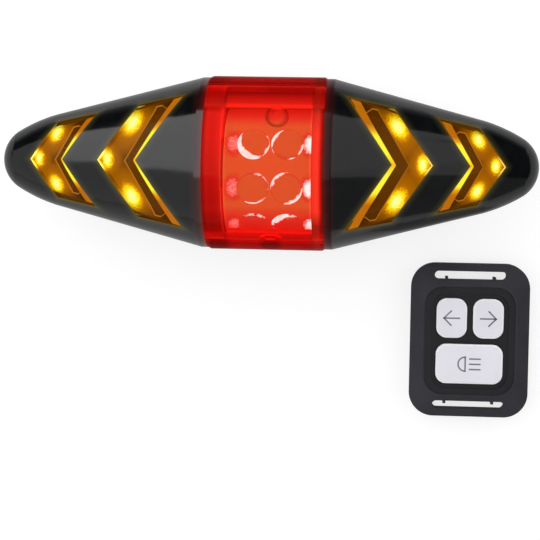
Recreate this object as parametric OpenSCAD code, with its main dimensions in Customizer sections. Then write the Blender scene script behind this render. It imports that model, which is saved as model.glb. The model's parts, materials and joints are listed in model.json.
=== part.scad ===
// Wireless turn signal lamp for a bicycle, with its handlebar remote.
// Both lie on their backs: x runs along the lamp, y is up on the bicycle, z is the way the light shines.

/* [Lamp body] */
// Height of the lamp at its round middle
lamp_h = 47.5; // [44:0.5:54]
// Width of the black band on each side of the red lens
band_w = 2; // [1.6:0.1:3]
// Distance from the black band to the notch of the inner arrow
arrow_lead = 16.5; // [14:0.1:18]
// Distance from the tip of the outer arrow to the end of the lamp
tip_margin = 9.5; // [8.5:0.1:14]
// Radius of each end of the lamp
nose_r = 9.5; // [8:0.25:11]
// Height of the body above that radius where a rounded end starts
nose_rise = 3.25; // [2.5:0.05:4]
// Length of the wide curve before a rounded end
nose_run = 5.5; // [4.5:0.1:7]
// Distance from the lamp axis to its flat back
back_depth = 11; // [10:0.25:12.5]
// Wall thickness of both housings
wall = 2; // [1.7:0.1:2.4]

/* [Lenses] */
// Width of the red lens along the lamp
lens_w = 32.4; // [31:0.2:38]
// Thickness of the red lens
lens_t = 2.6; // [2.2:0.1:3]
// Height of the red lens above the housing
lens_proud = 0.4; // [0.2:0.1:0.8]
// Radius of the red lens edges
lens_edge = 0.9; // [0.5:0.1:1]
// Width of the housing rim under the right side of the red lens
lens_rim = 3.1; // [2.4:0.1:4]
// Distance of the red light unit from the lamp middle, to the right
light_shift = 1.7; // [0:0.1:2]
// Width of the inner arrow at its tip
inner_stroke = 11; // [10.4:0.1:13]
// Distance between the two arrows of a wing
arrow_gap = 10.1; // [9:0.1:12]
// Width of the outer arrow at its tip
outer_stroke = 9.7; // [9.2:0.1:12]
// Slant of the notched side of the arrows
arrow_sweep = 34.4; // [31:0.2:36]
// Slant of the pointed side of the arrows
arrow_point = 35; // [32:0.5:38]
// Angle to which the arrows reach round the body
arrow_wrap = 53; // [48:0.5:56]
// Depth of the amber lenses below the housing surface
amber_recess = 0.5; // [0.3:0.1:0.8]
// Thickness of the flange behind the amber lenses
amber_flange_t = 1; // [0.8:0.1:1.3]
// Width of the flange behind the amber lenses
amber_flange_w = 1.2; // [0.8:0.1:1.4]

/* [Light units] */
// Drop of the panel centre below the lamp axis
panel_drop = 2.2; // [1.6:0.1:2.8]
// Diameter of the round lenses over the red lights
bead_d = 8.7; // [7.4:0.1:9]
// Angle between two rows of round lenses
bead_step = 41; // [36:1:43]
// Angle of the middle row below the lamp axis
bead_tilt = 16; // [12:1:18]
// Radius of an amber light
amber_led_r = 1.3; // [1:0.05:1.4]
// Diameter of the rechargeable cell
cell_d = 14; // [13:0.1:15.5]
// Length of the rechargeable cell
cell_len = 50; // [46:0.5:54]

/* [Seatpost cradle] */
// Diameter of the seatpost that the cradle sits on
post_d = 27.2; // [26:0.1:28.6]
// Thickness of the rubber pad
pad_t = 2; // [1.6:0.1:2.4]
// Width of the cradle across the seatpost
cradle_w = 34; // [33:0.5:38]
// Length of the cradle along the seatpost
cradle_len = 26; // [24:0.5:30]
// Height of the cradle behind the lamp
cradle_h = 12; // [11.5:0.25:13]
// Thickness of the cradle at its thinnest
cradle_base = 3; // [2.8:0.1:3.4]

/* [Remote] */
// Width of the remote
remote_w = 34; // [32:0.5:38]
// Height of the remote with its strap ears
remote_h = 44; // [43:0.5:48]
// Corner radius of the remote
remote_corner = 7; // [6:0.25:8]
// Thickness of the wall over the buttons' flanges
ceiling_t = 1.2; // [1:0.1:1.6]
// Width of the bar outside each strap slot
ear_w = 2.15; // [1.8:0.05:2.6]
// Width of the strap slots
slot_w = 2.5; // [2:0.1:3]
// Length of the strap slots
slot_len = 20.5; // [18:0.5:22]
// Width of an arrow button
key_w = 8.65; // [7.6:0.05:9.4]
// Height of the buttons
key_h = 11.3; // [10:0.1:12]
// Bridge between two buttons
key_gap = 1.75; // [1.5:0.05:2.2]
// Corner radius of the buttons
key_corner = 2.8; // [2:0.1:3.4]
// Travel of every push button
key_travel = 0.6; // [0.4:0.05:0.8]
// Height of the buttons above their panel
key_proud = 0.8; // [0.6:0.1:1.2]
// Diameter of the coin cell
coin_d = 20; // [18:0.5:21]
// Thickness of the coin cell
coin_t = 3.2; // [2.5:0.1:3.6]

/* [Layout] */
// Distance of the remote to the side of the lamp middle
remote_dx = 57.4; // [40:0.1:57.6]
// Distance of the remote below the lamp axis
remote_dy = 49.5; // [47:0.1:60]

/* [Fits] */
// Gap between pieces that are fixed together
fit = 0.1; // [0.08:0.01:0.15]
// Gap around a piece that moves
run = 0.25; // [0.2:0.01:0.3]

/* [Hidden] */
$fn = 96;

collar_half = lens_w / 2 + band_w;
collar_r = lamp_h / 2;
inner_x = collar_half + arrow_lead;
outer_x = inner_x + inner_stroke + arrow_gap;
half_len = outer_x + outer_stroke + tip_margin;
lamp_z = back_depth + cradle_h;
lens_r = collar_r + lens_proud;
lamp_y = (remote_dy + remote_h / 2 - lens_r) / 2;
remote_y = lamp_y - remote_dy;
far = 2 * half_len;

// Body curve: straight middle, straight taper, wide shoulder arc and end arc, each meeting the next at a small angle
shoulder_turn = 2;
end_turn = 3;
nose_h = nose_r + nose_rise;
shoulder_at = [half_len - nose_r - nose_run, nose_h];
end_at = [half_len - nose_r, 0];
taper_a = atan((collar_r - nose_h) / (shoulder_at[0] - collar_half));
shoulder_in = [-sin(taper_a + shoulder_turn), -cos(taper_a + shoulder_turn)];
end_gap = shoulder_at - end_at;
shoulder_r = (nose_r * nose_r - end_gap * end_gap)
    / (2 * (nose_r * cos(end_turn) + shoulder_in * end_gap));
shoulder_c = shoulder_at + shoulder_r * shoulder_in;
end_way = (end_at - shoulder_c) / norm(end_at - shoulder_c);

function body_r(x) = collar_r - (x - collar_half) * tan(taper_a);

// Arrow windows: the place of the notch, the width of the stroke and of the pocket in the diffuser
inner_pocket = 3;
outer_pocket = 2.3;
inner = [inner_x, inner_stroke, inner_pocket];
outer = [outer_x, outer_stroke, outer_pocket];
function wrap_y(x, slant) = sin(arrow_wrap) * body_r(x)
    / (1 - sin(arrow_wrap) * tan(slant) * tan(taper_a));
function slant_end(x, slant) = [x - wrap_y(x, slant) * tan(slant), wrap_y(x, slant)];
function arrow_notch(a) = [a[0], 0];
function arrow_tip(a) = [a[0] + a[1], 0];
function arrow_start(a) = slant_end(a[0], arrow_sweep);
function arrow_shoulder(a) = slant_end(a[0] + a[1], arrow_point);
function flip(p) = [p[0], -p[1]];
function unit(v) = v / norm(v);
function lerp(p, q, t) = p + t * (q - p);
function arrow(a) = [
    arrow_tip(a),
    arrow_shoulder(a),
    arrow_start(a),
    arrow_notch(a),
    flip(arrow_start(a)),
    flip(arrow_shoulder(a))
];

// Moves every side of an outline outwards by d
function side_out(p, q) = unit([q[1] - p[1], p[0] - q[0]]);
function grow(pts, d) = [
    for (i = [0 : len(pts) - 1])
        let (
            p = pts[(i + len(pts) - 1) % len(pts)],
            q = pts[i],
            r = pts[(i + 1) % len(pts)],
            m = side_out(p, q),
            n = side_out(q, r)
        )
        q + d * (m + n) / (1 + m * n)
];

// Light boxes behind the arrow windows
box_wall = 0.8;
box_floor = 0.8;
board_t = 1.2;
inner_z = 7.2;
outer_z = 3.2;
flange_in = wall + fit;
flange_bottom = flange_in + amber_flange_t;
box_in = flange_bottom + fit + 0.05;
ledge_end = 2.6;
ledge_mid = 0.9;
pocket_end = 4.4;
diffuser_t = 1;
led_inset = 2.35;
led_arm = 0.645;

function led_tip(a) = arrow_tip(a) - [led_inset, 0];
function led_side(a) = lerp(arrow_tip(a), arrow_shoulder(a), led_arm) + led_tip(a) - arrow_tip(a);
function led_spots(a) = [led_tip(a), led_side(a), flip(led_side(a))];
function arm_foot(a) = (arrow_notch(a) + arrow_tip(a)) / 2;
function arm_end(a) = (arrow_start(a) + arrow_shoulder(a)) / 2;
inner_rest = lerp(arm_foot(inner), arm_end(inner), 0.75);
outer_rest = lerp(arm_foot(outer), arm_end(outer), 0.5);

// Red panel
frame_r = lens_r - lens_t - fit;
frame_t = 1.5;
frame_in = frame_r - frame_t;
panel_gap = 0.45;
panel_r = frame_in - panel_drop - panel_gap;
frame_half = lens_w / 2 + fit + 0.3;
frame_window = lens_w / 2 - lens_rim;
bridge_z = 3;
panel_t = 1.9;
panel_half = frame_window - 0.4;
panel_foot = 0.9;
bead_seat = 1.1;
bead_rise = 1.6;
bead_hole_r = 3;
bead_web = 0.3;
bead_x = bead_d / 2 + fit + bead_web / 2;
strip_t = 0.6;
strip_r = panel_r - panel_t - fit;
red_led = 3;
red_led_t = 0.7;
side_led_x = bead_x + bead_d / 2 + fit + bead_web + red_led / 2;
bead_angles = [bead_step - bead_tilt, -bead_tilt, -bead_step - bead_tilt];
lens_post_x = light_shift + 1.8;
lens_post_y = 12.5;
lens_post_z = 13.4;
lens_button_x = light_shift - 0.3;
lens_button_a = 74;

// Screws and bosses
boss_r = 2.3;
post_r = 3.2;
screw_r = 0.95;
pilot_r = 1.05;
clear_r = 1.3;
head_r = 2.2;
head_t = 1.8;
head_seat = 4.8;
pilot_depth = 7;
boss_room = 1.8;
collar_boss = [collar_half + 1.6, cell_d / 2 + post_r + boss_room];
wing_boss = [outer_x - arrow_gap / 2, 0];
boss_spots = [collar_boss, flip(collar_boss), wing_boss];

// Cell, boards and back controls
cell_z = -back_depth + wall + 0.2 + cell_d / 2;
clip_t = 0.4;
socket = [9, 3.3, 5.8];
port_recess = 1.2;
board_z = -back_depth + port_recess + socket[2];
board_from = cell_len / 2 + 2.5;
control_x = board_from + 5.5;
rest_r = 2;
board_to = wing_boss[0] - post_r - 0.8;
board_half = inner_rest[1] - rest_r - 0.5;
pin_y = board_half - 2.4;
pin_spots = [
    [board_from + 2, pin_y],
    [board_from + 2, -pin_y],
    [board_to - 2.2, pin_y],
    [board_to - 2.2, -pin_y]
];
pin_r = 0.9;
button_r = 4.5;
button_proud = 0.6;
button_flange = 5.7;
flap = [13.4, 7.6, 1];
hinge_r = 0.8;
hinge_x = control_x + 6.6;
hinge_z = -back_depth + hinge_r + 0.1;
port_pad = 1.2;
port_pad_size = [14.6, 11.2];

// Cradle
post_z = -back_depth - cradle_base - pad_t - post_d / 2;
groove_r = post_d / 2 + pad_t;
cradle_screw_y = 9.5;
cradle_seat = -back_depth - cradle_base + head_t + 0.2;
hook_out = 4.6;
hook_z = -back_depth - 3.2;

// Remote stack, from its back
shell_z = 1.4;
door_d = coin_d + 3;
door_groove = [14, 1.6];
door_lug_z = shell_z + 0.1;
door_lug_t = 0.7;
coin_z = door_lug_z + door_lug_t + 0.2;
coin_clip_z = coin_z + coin_t + 0.05;
coin_clip_t = 0.35;
remote_board_z = coin_clip_z + coin_clip_t + 0.1;
remote_board_t = 0.8;
dome_t = 0.3;
dome_z = remote_board_z + remote_board_t;
stem_z = dome_z + dome_t + key_travel + 0.1;
seal_z = dome_z + dome_t + 0.1;
seal_t = 0.4;
flange_t = 0.5;
flange_z = seal_z + seal_t + key_travel + 0.25;
ceiling = flange_z + flange_t + run;
remote_t = ceiling + ceiling_t;
panel_z = remote_t - 0.5;
slope_z = panel_z - 2.5;
lower_top = dome_z + dome_t;

// Remote outline
wide_w = 2 * key_w + key_gap;
panel_w = wide_w + 6.6;
panel_h = 2 * key_h + key_gap + 6.4;
bed_rim = 1.3;
bed_rise = 0.25;
slot_y = remote_h / 2 - ear_w - slot_w / 2;
lower_x = remote_w / 2 - 2.7;
lower_y = slot_y - slot_w / 2 - 3.05;
cover_lip = 1.2;
upper_rim = 1.9;
upper_x = wide_w / 2 + upper_rim;
upper_y = key_h + key_gap / 2 + 1.6;
key_flange = (key_gap - 0.55) / 2;
stem_r = 2;
remote_boss_r = 2.1;
remote_boss = [lower_x - remote_boss_r, lower_y - remote_boss_r];

// Body shapes about the lamp axis

module half_profile(t) {
    line_in = t / cos(taper_a);
    intersection() {
        polygon([
            [0, -1],
            [collar_r - t, -1],
            [collar_r - t, collar_half - t * tan(taper_a / 2)],
            [collar_r - line_in - (half_len + 1 - collar_half) * tan(taper_a), half_len + 1],
            [0, half_len + 1]
        ]);
        union() {
            translate([shoulder_c[1], shoulder_c[0]])
                circle(r = shoulder_r - t);
            translate([0, -2])
                square([far, shoulder_at[0] + 1]);
        }
        union() {
            translate([0, end_at[0]])
                circle(r = nose_r - t);
            translate([0, -2])
                square([far, end_at[0] + (nose_r - t) * end_way[0] + 1.6]);
        }
    }
}

module spindle(t) {
    rotate([0, 90, 0])
        rotate_extrude($fn = 180) {
            half_profile(t);
            mirror([0, 1])
                half_profile(t);
        }
}

module slab(z0, z1) {
    translate([-far, -far, z0])
        cube([2 * far, 2 * far, z1 - z0]);
}

module drum(r, half) {
    rotate([0, 90, 0])
        cylinder(h = 2 * half, r = r, center = true, $fn = 180);
}

module tube(r_in, r_out, half) {
    difference() {
        drum(r_out, half);
        drum(r_in, half + 1);
    }
}

module prism(pts, z0, z1) {
    translate([0, 0, z0])
        linear_extrude(height = z1 - z0)
            polygon(pts);
}

module rounded(w, h, r) {
    square([w, h - 2 * r], center = true);
    square([w - 2 * r, h], center = true);
    for (x = [-1, 1])
        for (y = [-1, 1])
            translate([x * (w / 2 - r), y * (h / 2 - r)])
                circle(r = r);
}

module plate(w, h, r, z0, z1) {
    translate([0, 0, z0])
        linear_extrude(height = z1 - z0)
            rounded(w, h, r);
}

module rod(p, r, z0, z1) {
    translate([p[0], p[1], z0])
        cylinder(h = z1 - z0, r = r);
}

module both_wings() {
    children();
    mirror([1, 0, 0])
        children();
}

module side(s) {
    if (s > 0) {
        children();
    } else {
        mirror([1, 0, 0])
            children();
    }
}

module on_lamp() {
    translate([0, lamp_y, lamp_z])
        children();
}

module on_remote() {
    translate([remote_dx, remote_y, 0])
        children();
}

// Housings

module rear_housing() {
    color("#141517")
        on_lamp()
            difference() {
                union() {
                    rear_shell();
                    intersection() {
                        rear_supports();
                        spindle(wall - 0.4);
                    }
                }
                rear_openings();
            }
}

module rear_shell() {
    difference() {
        intersection() {
            spindle(0);
            slab(-back_depth, 0);
        }
        intersection() {
            spindle(wall);
            slab(-back_depth + wall, 1);
        }
        intersection() {
            spindle(wall / 2 - fit);
            slab(-1.05, 1);
        }
    }
}

module rear_supports() {
    floor_z = -back_depth + wall - 0.4;
    both_wings() {
        for (p = boss_spots)
            rod(p, post_r, floor_z, -fit);
        for (p = [inner_rest, flip(inner_rest)])
            rod(p, rest_r, floor_z, inner_z - board_t - fit);
        for (p = [outer_rest, flip(outer_rest)])
            rod(p, 1.5, floor_z, outer_z - board_t - fit);
        for (p = pin_spots) {
            rod(p, 1.7, floor_z, board_z);
            rod(p, pin_r, floor_z, board_z + board_t + 0.6);
        }
        translate([cell_len * 0.3, 0, floor_z])
            cell_saddle();
    }
    for (y = [1, -1])
        rod([0, y * cradle_screw_y], 2.6, floor_z, -back_depth + 4.4);
    for (y = [panel_r - panel_t / 2, panel_t / 2 - panel_r])
        translate([light_shift - panel_half + 1.2, y - panel_drop - 1, floor_z])
            cube([2 * panel_half - 2.4, 2, panel_foot - fit - floor_z]);
    translate([control_x - 5.4, -port_pad_size[1] / 2, floor_z])
        cube([port_pad_size[0], port_pad_size[1], port_pad + 0.4]);
}

module cell_saddle() {
    difference() {
        translate([-1.2, -cell_d / 2 + 1, 0])
            cube([2.4, cell_d - 2, 3.4]);
        translate([0, 0, cell_z + back_depth - wall + 0.4])
            drum(cell_d / 2 + fit, 3);
    }
}

module rear_openings() {
    both_wings()
        for (p = boss_spots) {
            rod(p, clear_r, -back_depth - 1, 1);
            rod(p, head_r + 0.2, -back_depth - 1, -back_depth + head_seat);
        }
    for (y = [1, -1])
        rod([0, y * cradle_screw_y], pilot_r, -back_depth - 1, -back_depth + 4);
    rod([-control_x, 0], button_r + run, -back_depth - 1, 0);
    port_opening();
}

module port_opening() {
    translate([control_x, 0, -back_depth - 1])
        linear_extrude(height = back_depth)
            rounded(socket[0] + 1, socket[1] + 1, 1.6);
    translate([hinge_x - flap[0] - run, -flap[1] / 2 - run, -back_depth - 1])
        cube([flap[0] + run, flap[1] + 2 * run, port_recess + 1]);
    translate([hinge_x, 0, hinge_z])
        rotate([90, 0, 0])
            cylinder(h = flap[1] + 2 * run, r = hinge_r + run, center = true);
    translate([hinge_x - hinge_r - run, -flap[1] / 2 - run, -back_depth - 1])
        cube([2 * (hinge_r + run), flap[1] + 2 * run, 1 + hinge_r + 0.1]);
    translate([hinge_x - flap[0], 0, -back_depth - 1])
        cylinder(h = port_recess + 1, r = 2.4);
}

module front_housing() {
    color("#0d0e10")
        on_lamp()
            difference() {
                union() {
                    front_shell();
                    lens_frame();
                    intersection() {
                        both_wings()
                            for (p = boss_spots)
                                rod(p, boss_r, 0, collar_r);
                        spindle(wall - 0.4);
                        slab(0, collar_r);
                    }
                }
                both_wings() {
                    prism(arrow(inner), 2, collar_r + 1);
                    prism(arrow(outer), 2, collar_r + 1);
                    for (p = boss_spots)
                        rod(p, pilot_r, -1, pilot_depth);
                }
            }
}

module front_shell() {
    difference() {
        intersection() {
            spindle(0);
            slab(0, collar_r + 1);
        }
        spindle(wall);
        drum(collar_r + 1, lens_w / 2 + fit);
    }
}

module lens_frame() {
    intersection() {
        difference() {
            tube(frame_in, frame_r, frame_half);
            translate([light_shift - frame_window, -far, bridge_z])
                cube([2 * frame_window - light_shift, 2 * far, far]);
        }
        slab(0, collar_r);
    }
    both_wings()
        intersection() {
            tube(frame_in, collar_r - wall / 2, (collar_half + lens_w / 2) / 2);
            translate([lens_w / 2 + fit, -far, 0])
                cube([far, 2 * far, far]);
        }
}

module housing_seal() {
    color("#2a2c2e")
        on_lamp()
            intersection() {
                difference() {
                    spindle(wall / 2);
                    spindle(wall);
                }
                slab(-1, -0.05);
            }
}

module housing_screws() {
    color("#b9bcc0")
        on_lamp()
            both_wings()
                for (p = boss_spots)
                    screw(p, -back_depth + head_seat - 0.05, pilot_depth - 1);
}

module screw(p, seat_z, end_z) {
    difference() {
        union() {
            rod(p, head_r, seat_z - head_t, seat_z);
            rod(p, screw_r, seat_z - 0.5, end_z);
        }
        for (a = [0, 90])
            translate([p[0], p[1], seat_z - head_t])
                rotate([0, 0, a])
                    cube([2.6, 0.6, 1.8], center = true);
    }
}

// Red tail light

module red_lens() {
    color("#c8160f", 0.6)
        on_lamp() {
            intersection() {
                rotate([0, 90, 0])
                    rotate_extrude($fn = 180)
                        lens_section();
                slab(0.1, lens_r + 1);
            }
            intersection() {
                lens_bosses();
                drum(lens_r - lens_t / 2, lens_w / 2);
            }
        }
}

module lens_section() {
    translate([lens_r - lens_t, -lens_w / 2])
        square([lens_t - lens_edge, lens_w]);
    translate([lens_r - lens_t, -lens_w / 2 + lens_edge])
        square([lens_t, lens_w - 2 * lens_edge]);
    for (y = [-1, 1])
        translate([lens_r - lens_edge, y * (lens_w / 2 - lens_edge)])
            circle(r = lens_edge);
}

module lens_bosses() {
    difference() {
        rod([lens_post_x, lens_post_y], 2.9, lens_post_z, lens_r);
        rod([lens_post_x, lens_post_y], 1.7, lens_post_z - 1, lens_post_z + 2.5);
    }
    rotate([lens_button_a, 0, 0])
        difference() {
            rod([lens_button_x, 0], 2.9, lens_r - lens_t - 0.6, lens_r);
            rod([lens_button_x, 0], 1.4, 0, lens_r - lens_t);
        }
}

module red_panel() {
    color("#e8573a")
        on_lamp()
            translate([light_shift, -panel_drop, 0])
                difference() {
                    intersection() {
                        tube(panel_r - panel_t, panel_r, panel_half);
                        slab(panel_foot, panel_r + 1);
                    }
                    at_beads() {
                        rod([0, 0], bead_d / 2 + fit, panel_r - bead_seat, panel_r + 2);
                        rod([0, 0], bead_hole_r, 10, panel_r);
                    }
                    at_side_leds()
                        translate([-red_led / 2 - 0.2, -red_led / 2 - 0.2, 10])
                            cube([red_led + 0.4, red_led + 0.4, 10]);
                }
}

module at_beads() {
    for (a = bead_angles)
        for (x = [-1, 1])
            rotate([-a, 0, 0])
                translate([x * bead_x, 0, 0])
                    children();
}

module at_side_leds() {
    for (a = bead_angles)
        for (x = [-1, 1])
            rotate([-a, 0, 0])
                translate([x * side_led_x, 0, 0])
                    children();
}

module red_beads() {
    cap_r = (bead_d * bead_d / 4 + bead_rise * bead_rise) / (2 * bead_rise);
    color("#f07a5a", 0.7)
        on_lamp()
            translate([light_shift, -panel_drop, 0])
                at_beads()
                    intersection() {
                        rod([0, 0], bead_d / 2, panel_r - bead_seat + 0.05, panel_r + 4);
                        translate([0, 0, panel_r + bead_rise - cap_r])
                            sphere(r = cap_r);
                    }
}

module red_leds() {
    color("#ffd9cc")
        on_lamp()
            translate([light_shift, -panel_drop, 0]) {
                at_beads()
                    red_chip(red_led_t);
                at_side_leds()
                    red_chip(panel_t + 0.5);
            }
}

module red_chip(t) {
    translate([-red_led / 2, -red_led / 2, strip_r + 0.02])
        cube([red_led, red_led, t]);
}

module red_led_strip() {
    color("#e6e2d8")
        on_lamp()
            translate([light_shift, -panel_drop, 0])
                intersection() {
                    tube(strip_r - strip_t, strip_r, panel_half - 0.3);
                    slab(panel_foot + 1, panel_r);
                }
}

// Amber turn signals

module amber_lens(a, s) {
    color("#f09a12", 0.6)
        on_lamp()
            side(s)
                difference() {
                    union() {
                        intersection() {
                            spindle(amber_recess);
                            prism(grow(arrow(a), -fit), 2, collar_r);
                        }
                        intersection() {
                            spindle(flange_in);
                            prism(grow(arrow(a), amber_flange_w), 2, collar_r);
                        }
                    }
                    spindle(flange_bottom);
                    clear_bosses();
                }
}

module clear_bosses() {
    for (p = boss_spots)
        rod(p, boss_r + 0.2, -1, collar_r);
}

module light_box(a, z, s) {
    color("#d98a1e")
        on_lamp()
            side(s)
                difference() {
                    intersection() {
                        prism(grow(arrow(a), box_wall), z + 0.02, collar_r);
                        spindle(box_in);
                    }
                    prism(box_cavity(a), z + box_floor, collar_r);
                    for (p = led_spots(a))
                        rod(p, amber_led_r + 0.15, z - 1, z + 2);
                    clear_bosses();
                }
}

function cavity_start(a) = arrow_start(a) + ledge_end * unit(arrow_shoulder(a) - arrow_start(a));
function box_cavity(a) = [
    arrow_tip(a),
    arrow_shoulder(a),
    cavity_start(a),
    arrow_notch(a) + [ledge_mid, 0],
    flip(cavity_start(a)),
    flip(arrow_shoulder(a))
];

module diffuser(a, z, s) {
    color("#b86c12")
        on_lamp()
            side(s)
                difference() {
                    intersection() {
                        prism(grow(box_cavity(a), -fit), z + box_floor + 0.02, z + box_floor + diffuser_t);
                        spindle(box_in + fit);
                    }
                    pocket(a, z);
                    mirror([0, 1, 0])
                        pocket(a, z);
                    for (p = led_spots(a))
                        rod(p, amber_led_r + 0.15, z, z + box_floor + diffuser_t + 1);
                }
}

module pocket(a, z) {
    along = unit(cavity_start(a) - arrow_notch(a) - [ledge_mid, 0]);
    across = [along[1], -along[0]];
    from = arrow_notch(a) + [ledge_mid, 0];
    reach = norm(cavity_start(a) - from) - pocket_end;
    corner = 1.1;
    translate([0, 0, z + box_floor - 0.5])
        linear_extrude(height = diffuser_t + 1)
            polygon([
                from - across,
                from + reach * along - across,
                from + reach * along + (a[2] - corner) * across,
                from + (reach - corner) * along + a[2] * across,
                from + [a[2] / along[1], 0]
            ]);
}

module amber_leds(s) {
    color("#fff3a0")
        on_lamp()
            side(s) {
                amber_led_row(inner, inner_z);
                amber_led_row(outer, outer_z);
            }
}

module amber_led_row(a, z) {
    for (p = led_spots(a)) {
        rod(p, amber_led_r, z + 0.02, z + 1.4);
        translate([p[0], p[1], z + 1.4])
            intersection() {
                sphere(r = amber_led_r);
                rod([0, 0], amber_led_r + 1, 0, amber_led_r + 1);
            }
    }
}

module signal_board(s) {
    color("#1f5a34")
        on_lamp()
            side(s) {
                signal_plate(inner, inner_z);
                signal_plate(outer, outer_z);
            }
}

module signal_plate(a, z) {
    difference() {
        intersection() {
            prism(grow(arrow(a), box_wall - 0.2), z - board_t, z);
            spindle(box_in);
        }
        clear_bosses();
    }
}

// Power and controls

module battery_cell() {
    color("#2f6f8f")
        on_lamp()
            translate([0, 0, cell_z]) {
                drum(cell_d / 2, cell_len / 2 - 1);
                translate([-0.5, 0, 0])
                    drum(cell_d / 2 - 0.8, cell_len / 2 - 0.5);
                translate([cell_len / 2 - 2, 0, 0])
                    drum(2.5, 2);
            }
}

module battery_clips() {
    color("#c9c5ba")
        on_lamp()
            both_wings()
                translate([cell_len / 2 + fit, -4, -back_depth + wall + 0.05])
                    difference() {
                        cube([2, 8, cell_d * 0.8]);
                        translate([clip_t, -1, clip_t])
                            cube([4, 10, cell_d]);
                    }
}

module main_board() {
    color("#1d4f37")
        on_lamp()
            control_board();
}

module switch_board() {
    color("#1d4f37")
        on_lamp()
            side(-1)
                control_board();
}

module control_board() {
    difference() {
        translate([board_from, -board_half, board_z + 0.02])
            cube([board_to - board_from, 2 * board_half, board_t]);
        for (p = pin_spots)
            rod(p, pin_r + fit, board_z - 1, board_z + board_t + 1);
    }
    translate([board_to - 9, -3.5, board_z + board_t])
        cube([6, 7, 1]);
    translate([board_from + 6, 3.5, board_z + board_t])
        cube([3, 4, 0.8]);
}

module usb_socket() {
    color("#c3c6ca")
        on_lamp()
            translate([control_x, 0, board_z - socket[2]])
                linear_extrude(height = socket[2] - 0.02)
                    difference() {
                        rounded(socket[0], socket[1], 1.4);
                        difference() {
                            rounded(socket[0] - 0.6, socket[1] - 0.6, 1.1);
                            square([socket[0] - 2, 0.8], center = true);
                        }
                    }
}

module power_switch() {
    color("#3a3c40")
        on_lamp()
            translate([-control_x, 0, 0]) {
                translate([-3, -3, board_z - 1.6])
                    cube([6, 6, 1.58]);
                rod([0, 0], 1.6, board_z - 2.1, board_z - 1);
            }
}

module power_button() {
    inside = -back_depth + wall;
    color("#3b3d41")
        on_lamp()
            translate([-control_x, 0, 0]) {
                rod([0, 0], button_r, -back_depth - button_proud, inside + run + 0.3);
                rod([0, 0], button_flange, inside + run, inside + run + 0.7);
                rod([0, 0], 1.5, inside, board_z - 2.1 - key_travel - 0.1);
            }
}

module port_cover() {
    color("#3b3d41")
        on_lamp() {
            translate([hinge_x, 0, hinge_z])
                rotate([90, 0, 0])
                    cylinder(h = flap[1], r = hinge_r, center = true);
            translate([hinge_x - flap[0], -flap[1] / 2, -back_depth])
                cube([flap[0], flap[1], flap[2]]);
            intersection() {
                rod([hinge_x - flap[0], 0], 2.1, -back_depth, -back_depth + flap[2]);
                translate([hinge_x - flap[0] - 5, -5, -back_depth])
                    cube([5.5, 10, 2]);
            }
        }
}

// Seatpost cradle

module cradle() {
    color("#1b1c1f")
        on_lamp()
            difference() {
                union() {
                    translate([-cradle_w / 2, -cradle_len / 2, -back_depth - cradle_h])
                        cube([cradle_w, cradle_len, cradle_h]);
                    both_wings()
                        strap_hook();
                }
                translate([0, 0, post_z])
                    rotate([90, 0, 0])
                        cylinder(h = 2 * far, r = groove_r, center = true, $fn = 180);
                for (y = [1, -1]) {
                    rod([0, y * cradle_screw_y], clear_r, -far, 0);
                    rod([0, y * cradle_screw_y], head_r + 0.3, -far, cradle_seat + 0.05);
                }
            }
}

module strap_hook() {
    half = cradle_len / 2 - 4;
    translate([cradle_w / 2 - 1, half, hook_z])
        rotate([90, 0, 0])
            linear_extrude(height = 2 * half) {
                translate([0, -3])
                    square([hook_out - 0.2, 3]);
                translate([hook_out - 0.8, -3])
                    square([1.8, 5]);
                translate([hook_out + 0.1, 2])
                    circle(r = 0.9);
            }
}

module cradle_pad() {
    color("#26282b")
        on_lamp()
            intersection() {
                translate([0, 0, post_z])
                    rotate([90, 0, 0])
                        difference() {
                            cylinder(h = cradle_len, r = groove_r - 0.02, center = true, $fn = 180);
                            cylinder(h = cradle_len + 2, r = post_d / 2, center = true, $fn = 180);
                        }
                slab(-back_depth - cradle_h + 0.2, 0);
            }
}

module cradle_screws() {
    color("#b9bcc0")
        on_lamp()
            for (y = [1, -1])
                screw([0, y * cradle_screw_y], cradle_seat, -back_depth + 3.6);
}

// Remote

module remote_front() {
    color("#2d2c30")
        on_remote()
            difference() {
                union() {
                    plate(remote_w, remote_h, remote_corner, shell_z, slope_z);
                    hull() {
                        plate(remote_w, remote_h, remote_corner, slope_z - 0.01, slope_z, $fn = 48);
                        plate(panel_w + 1.2, panel_h + 1.2, 6, panel_z - 0.01, panel_z, $fn = 48);
                    }
                    plate(panel_w, panel_h, 5.6, slope_z, remote_t);
                    plate(wide_w + 2 * bed_rim, 2 * (key_h + bed_rim) + key_gap, key_corner + bed_rim,
                        slope_z, remote_t + bed_rise);
                }
                difference() {
                    plate(2 * lower_x, 2 * lower_y, 3, shell_z - 1, lower_top);
                    for (x = [-1, 1])
                        for (y = [-1, 1])
                            rod([x * remote_boss[0], y * remote_boss[1]], remote_boss_r, 0, remote_t);
                }
                plate(2 * upper_x, 2 * upper_y, 3, lower_top - 1, ceiling);
                key_windows();
                strap_slots();
                remote_pilots();
            }
}

module key_windows() {
    at_left_key()
        plate(key_w + 2 * run, key_h + 2 * run, key_corner + run, 0, far);
    at_right_key()
        plate(key_w + 2 * run, key_h + 2 * run, key_corner + run, 0, far);
    at_light_key()
        plate(wide_w + 2 * run, key_h + 2 * run, key_corner + run, 0, far);
}

module at_left_key() {
    translate([-(key_w + key_gap) / 2, (key_h + key_gap) / 2, 0])
        children();
}

module at_right_key() {
    translate([(key_w + key_gap) / 2, (key_h + key_gap) / 2, 0])
        children();
}

module at_light_key() {
    translate([0, -(key_h + key_gap) / 2, 0])
        children();
}

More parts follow.
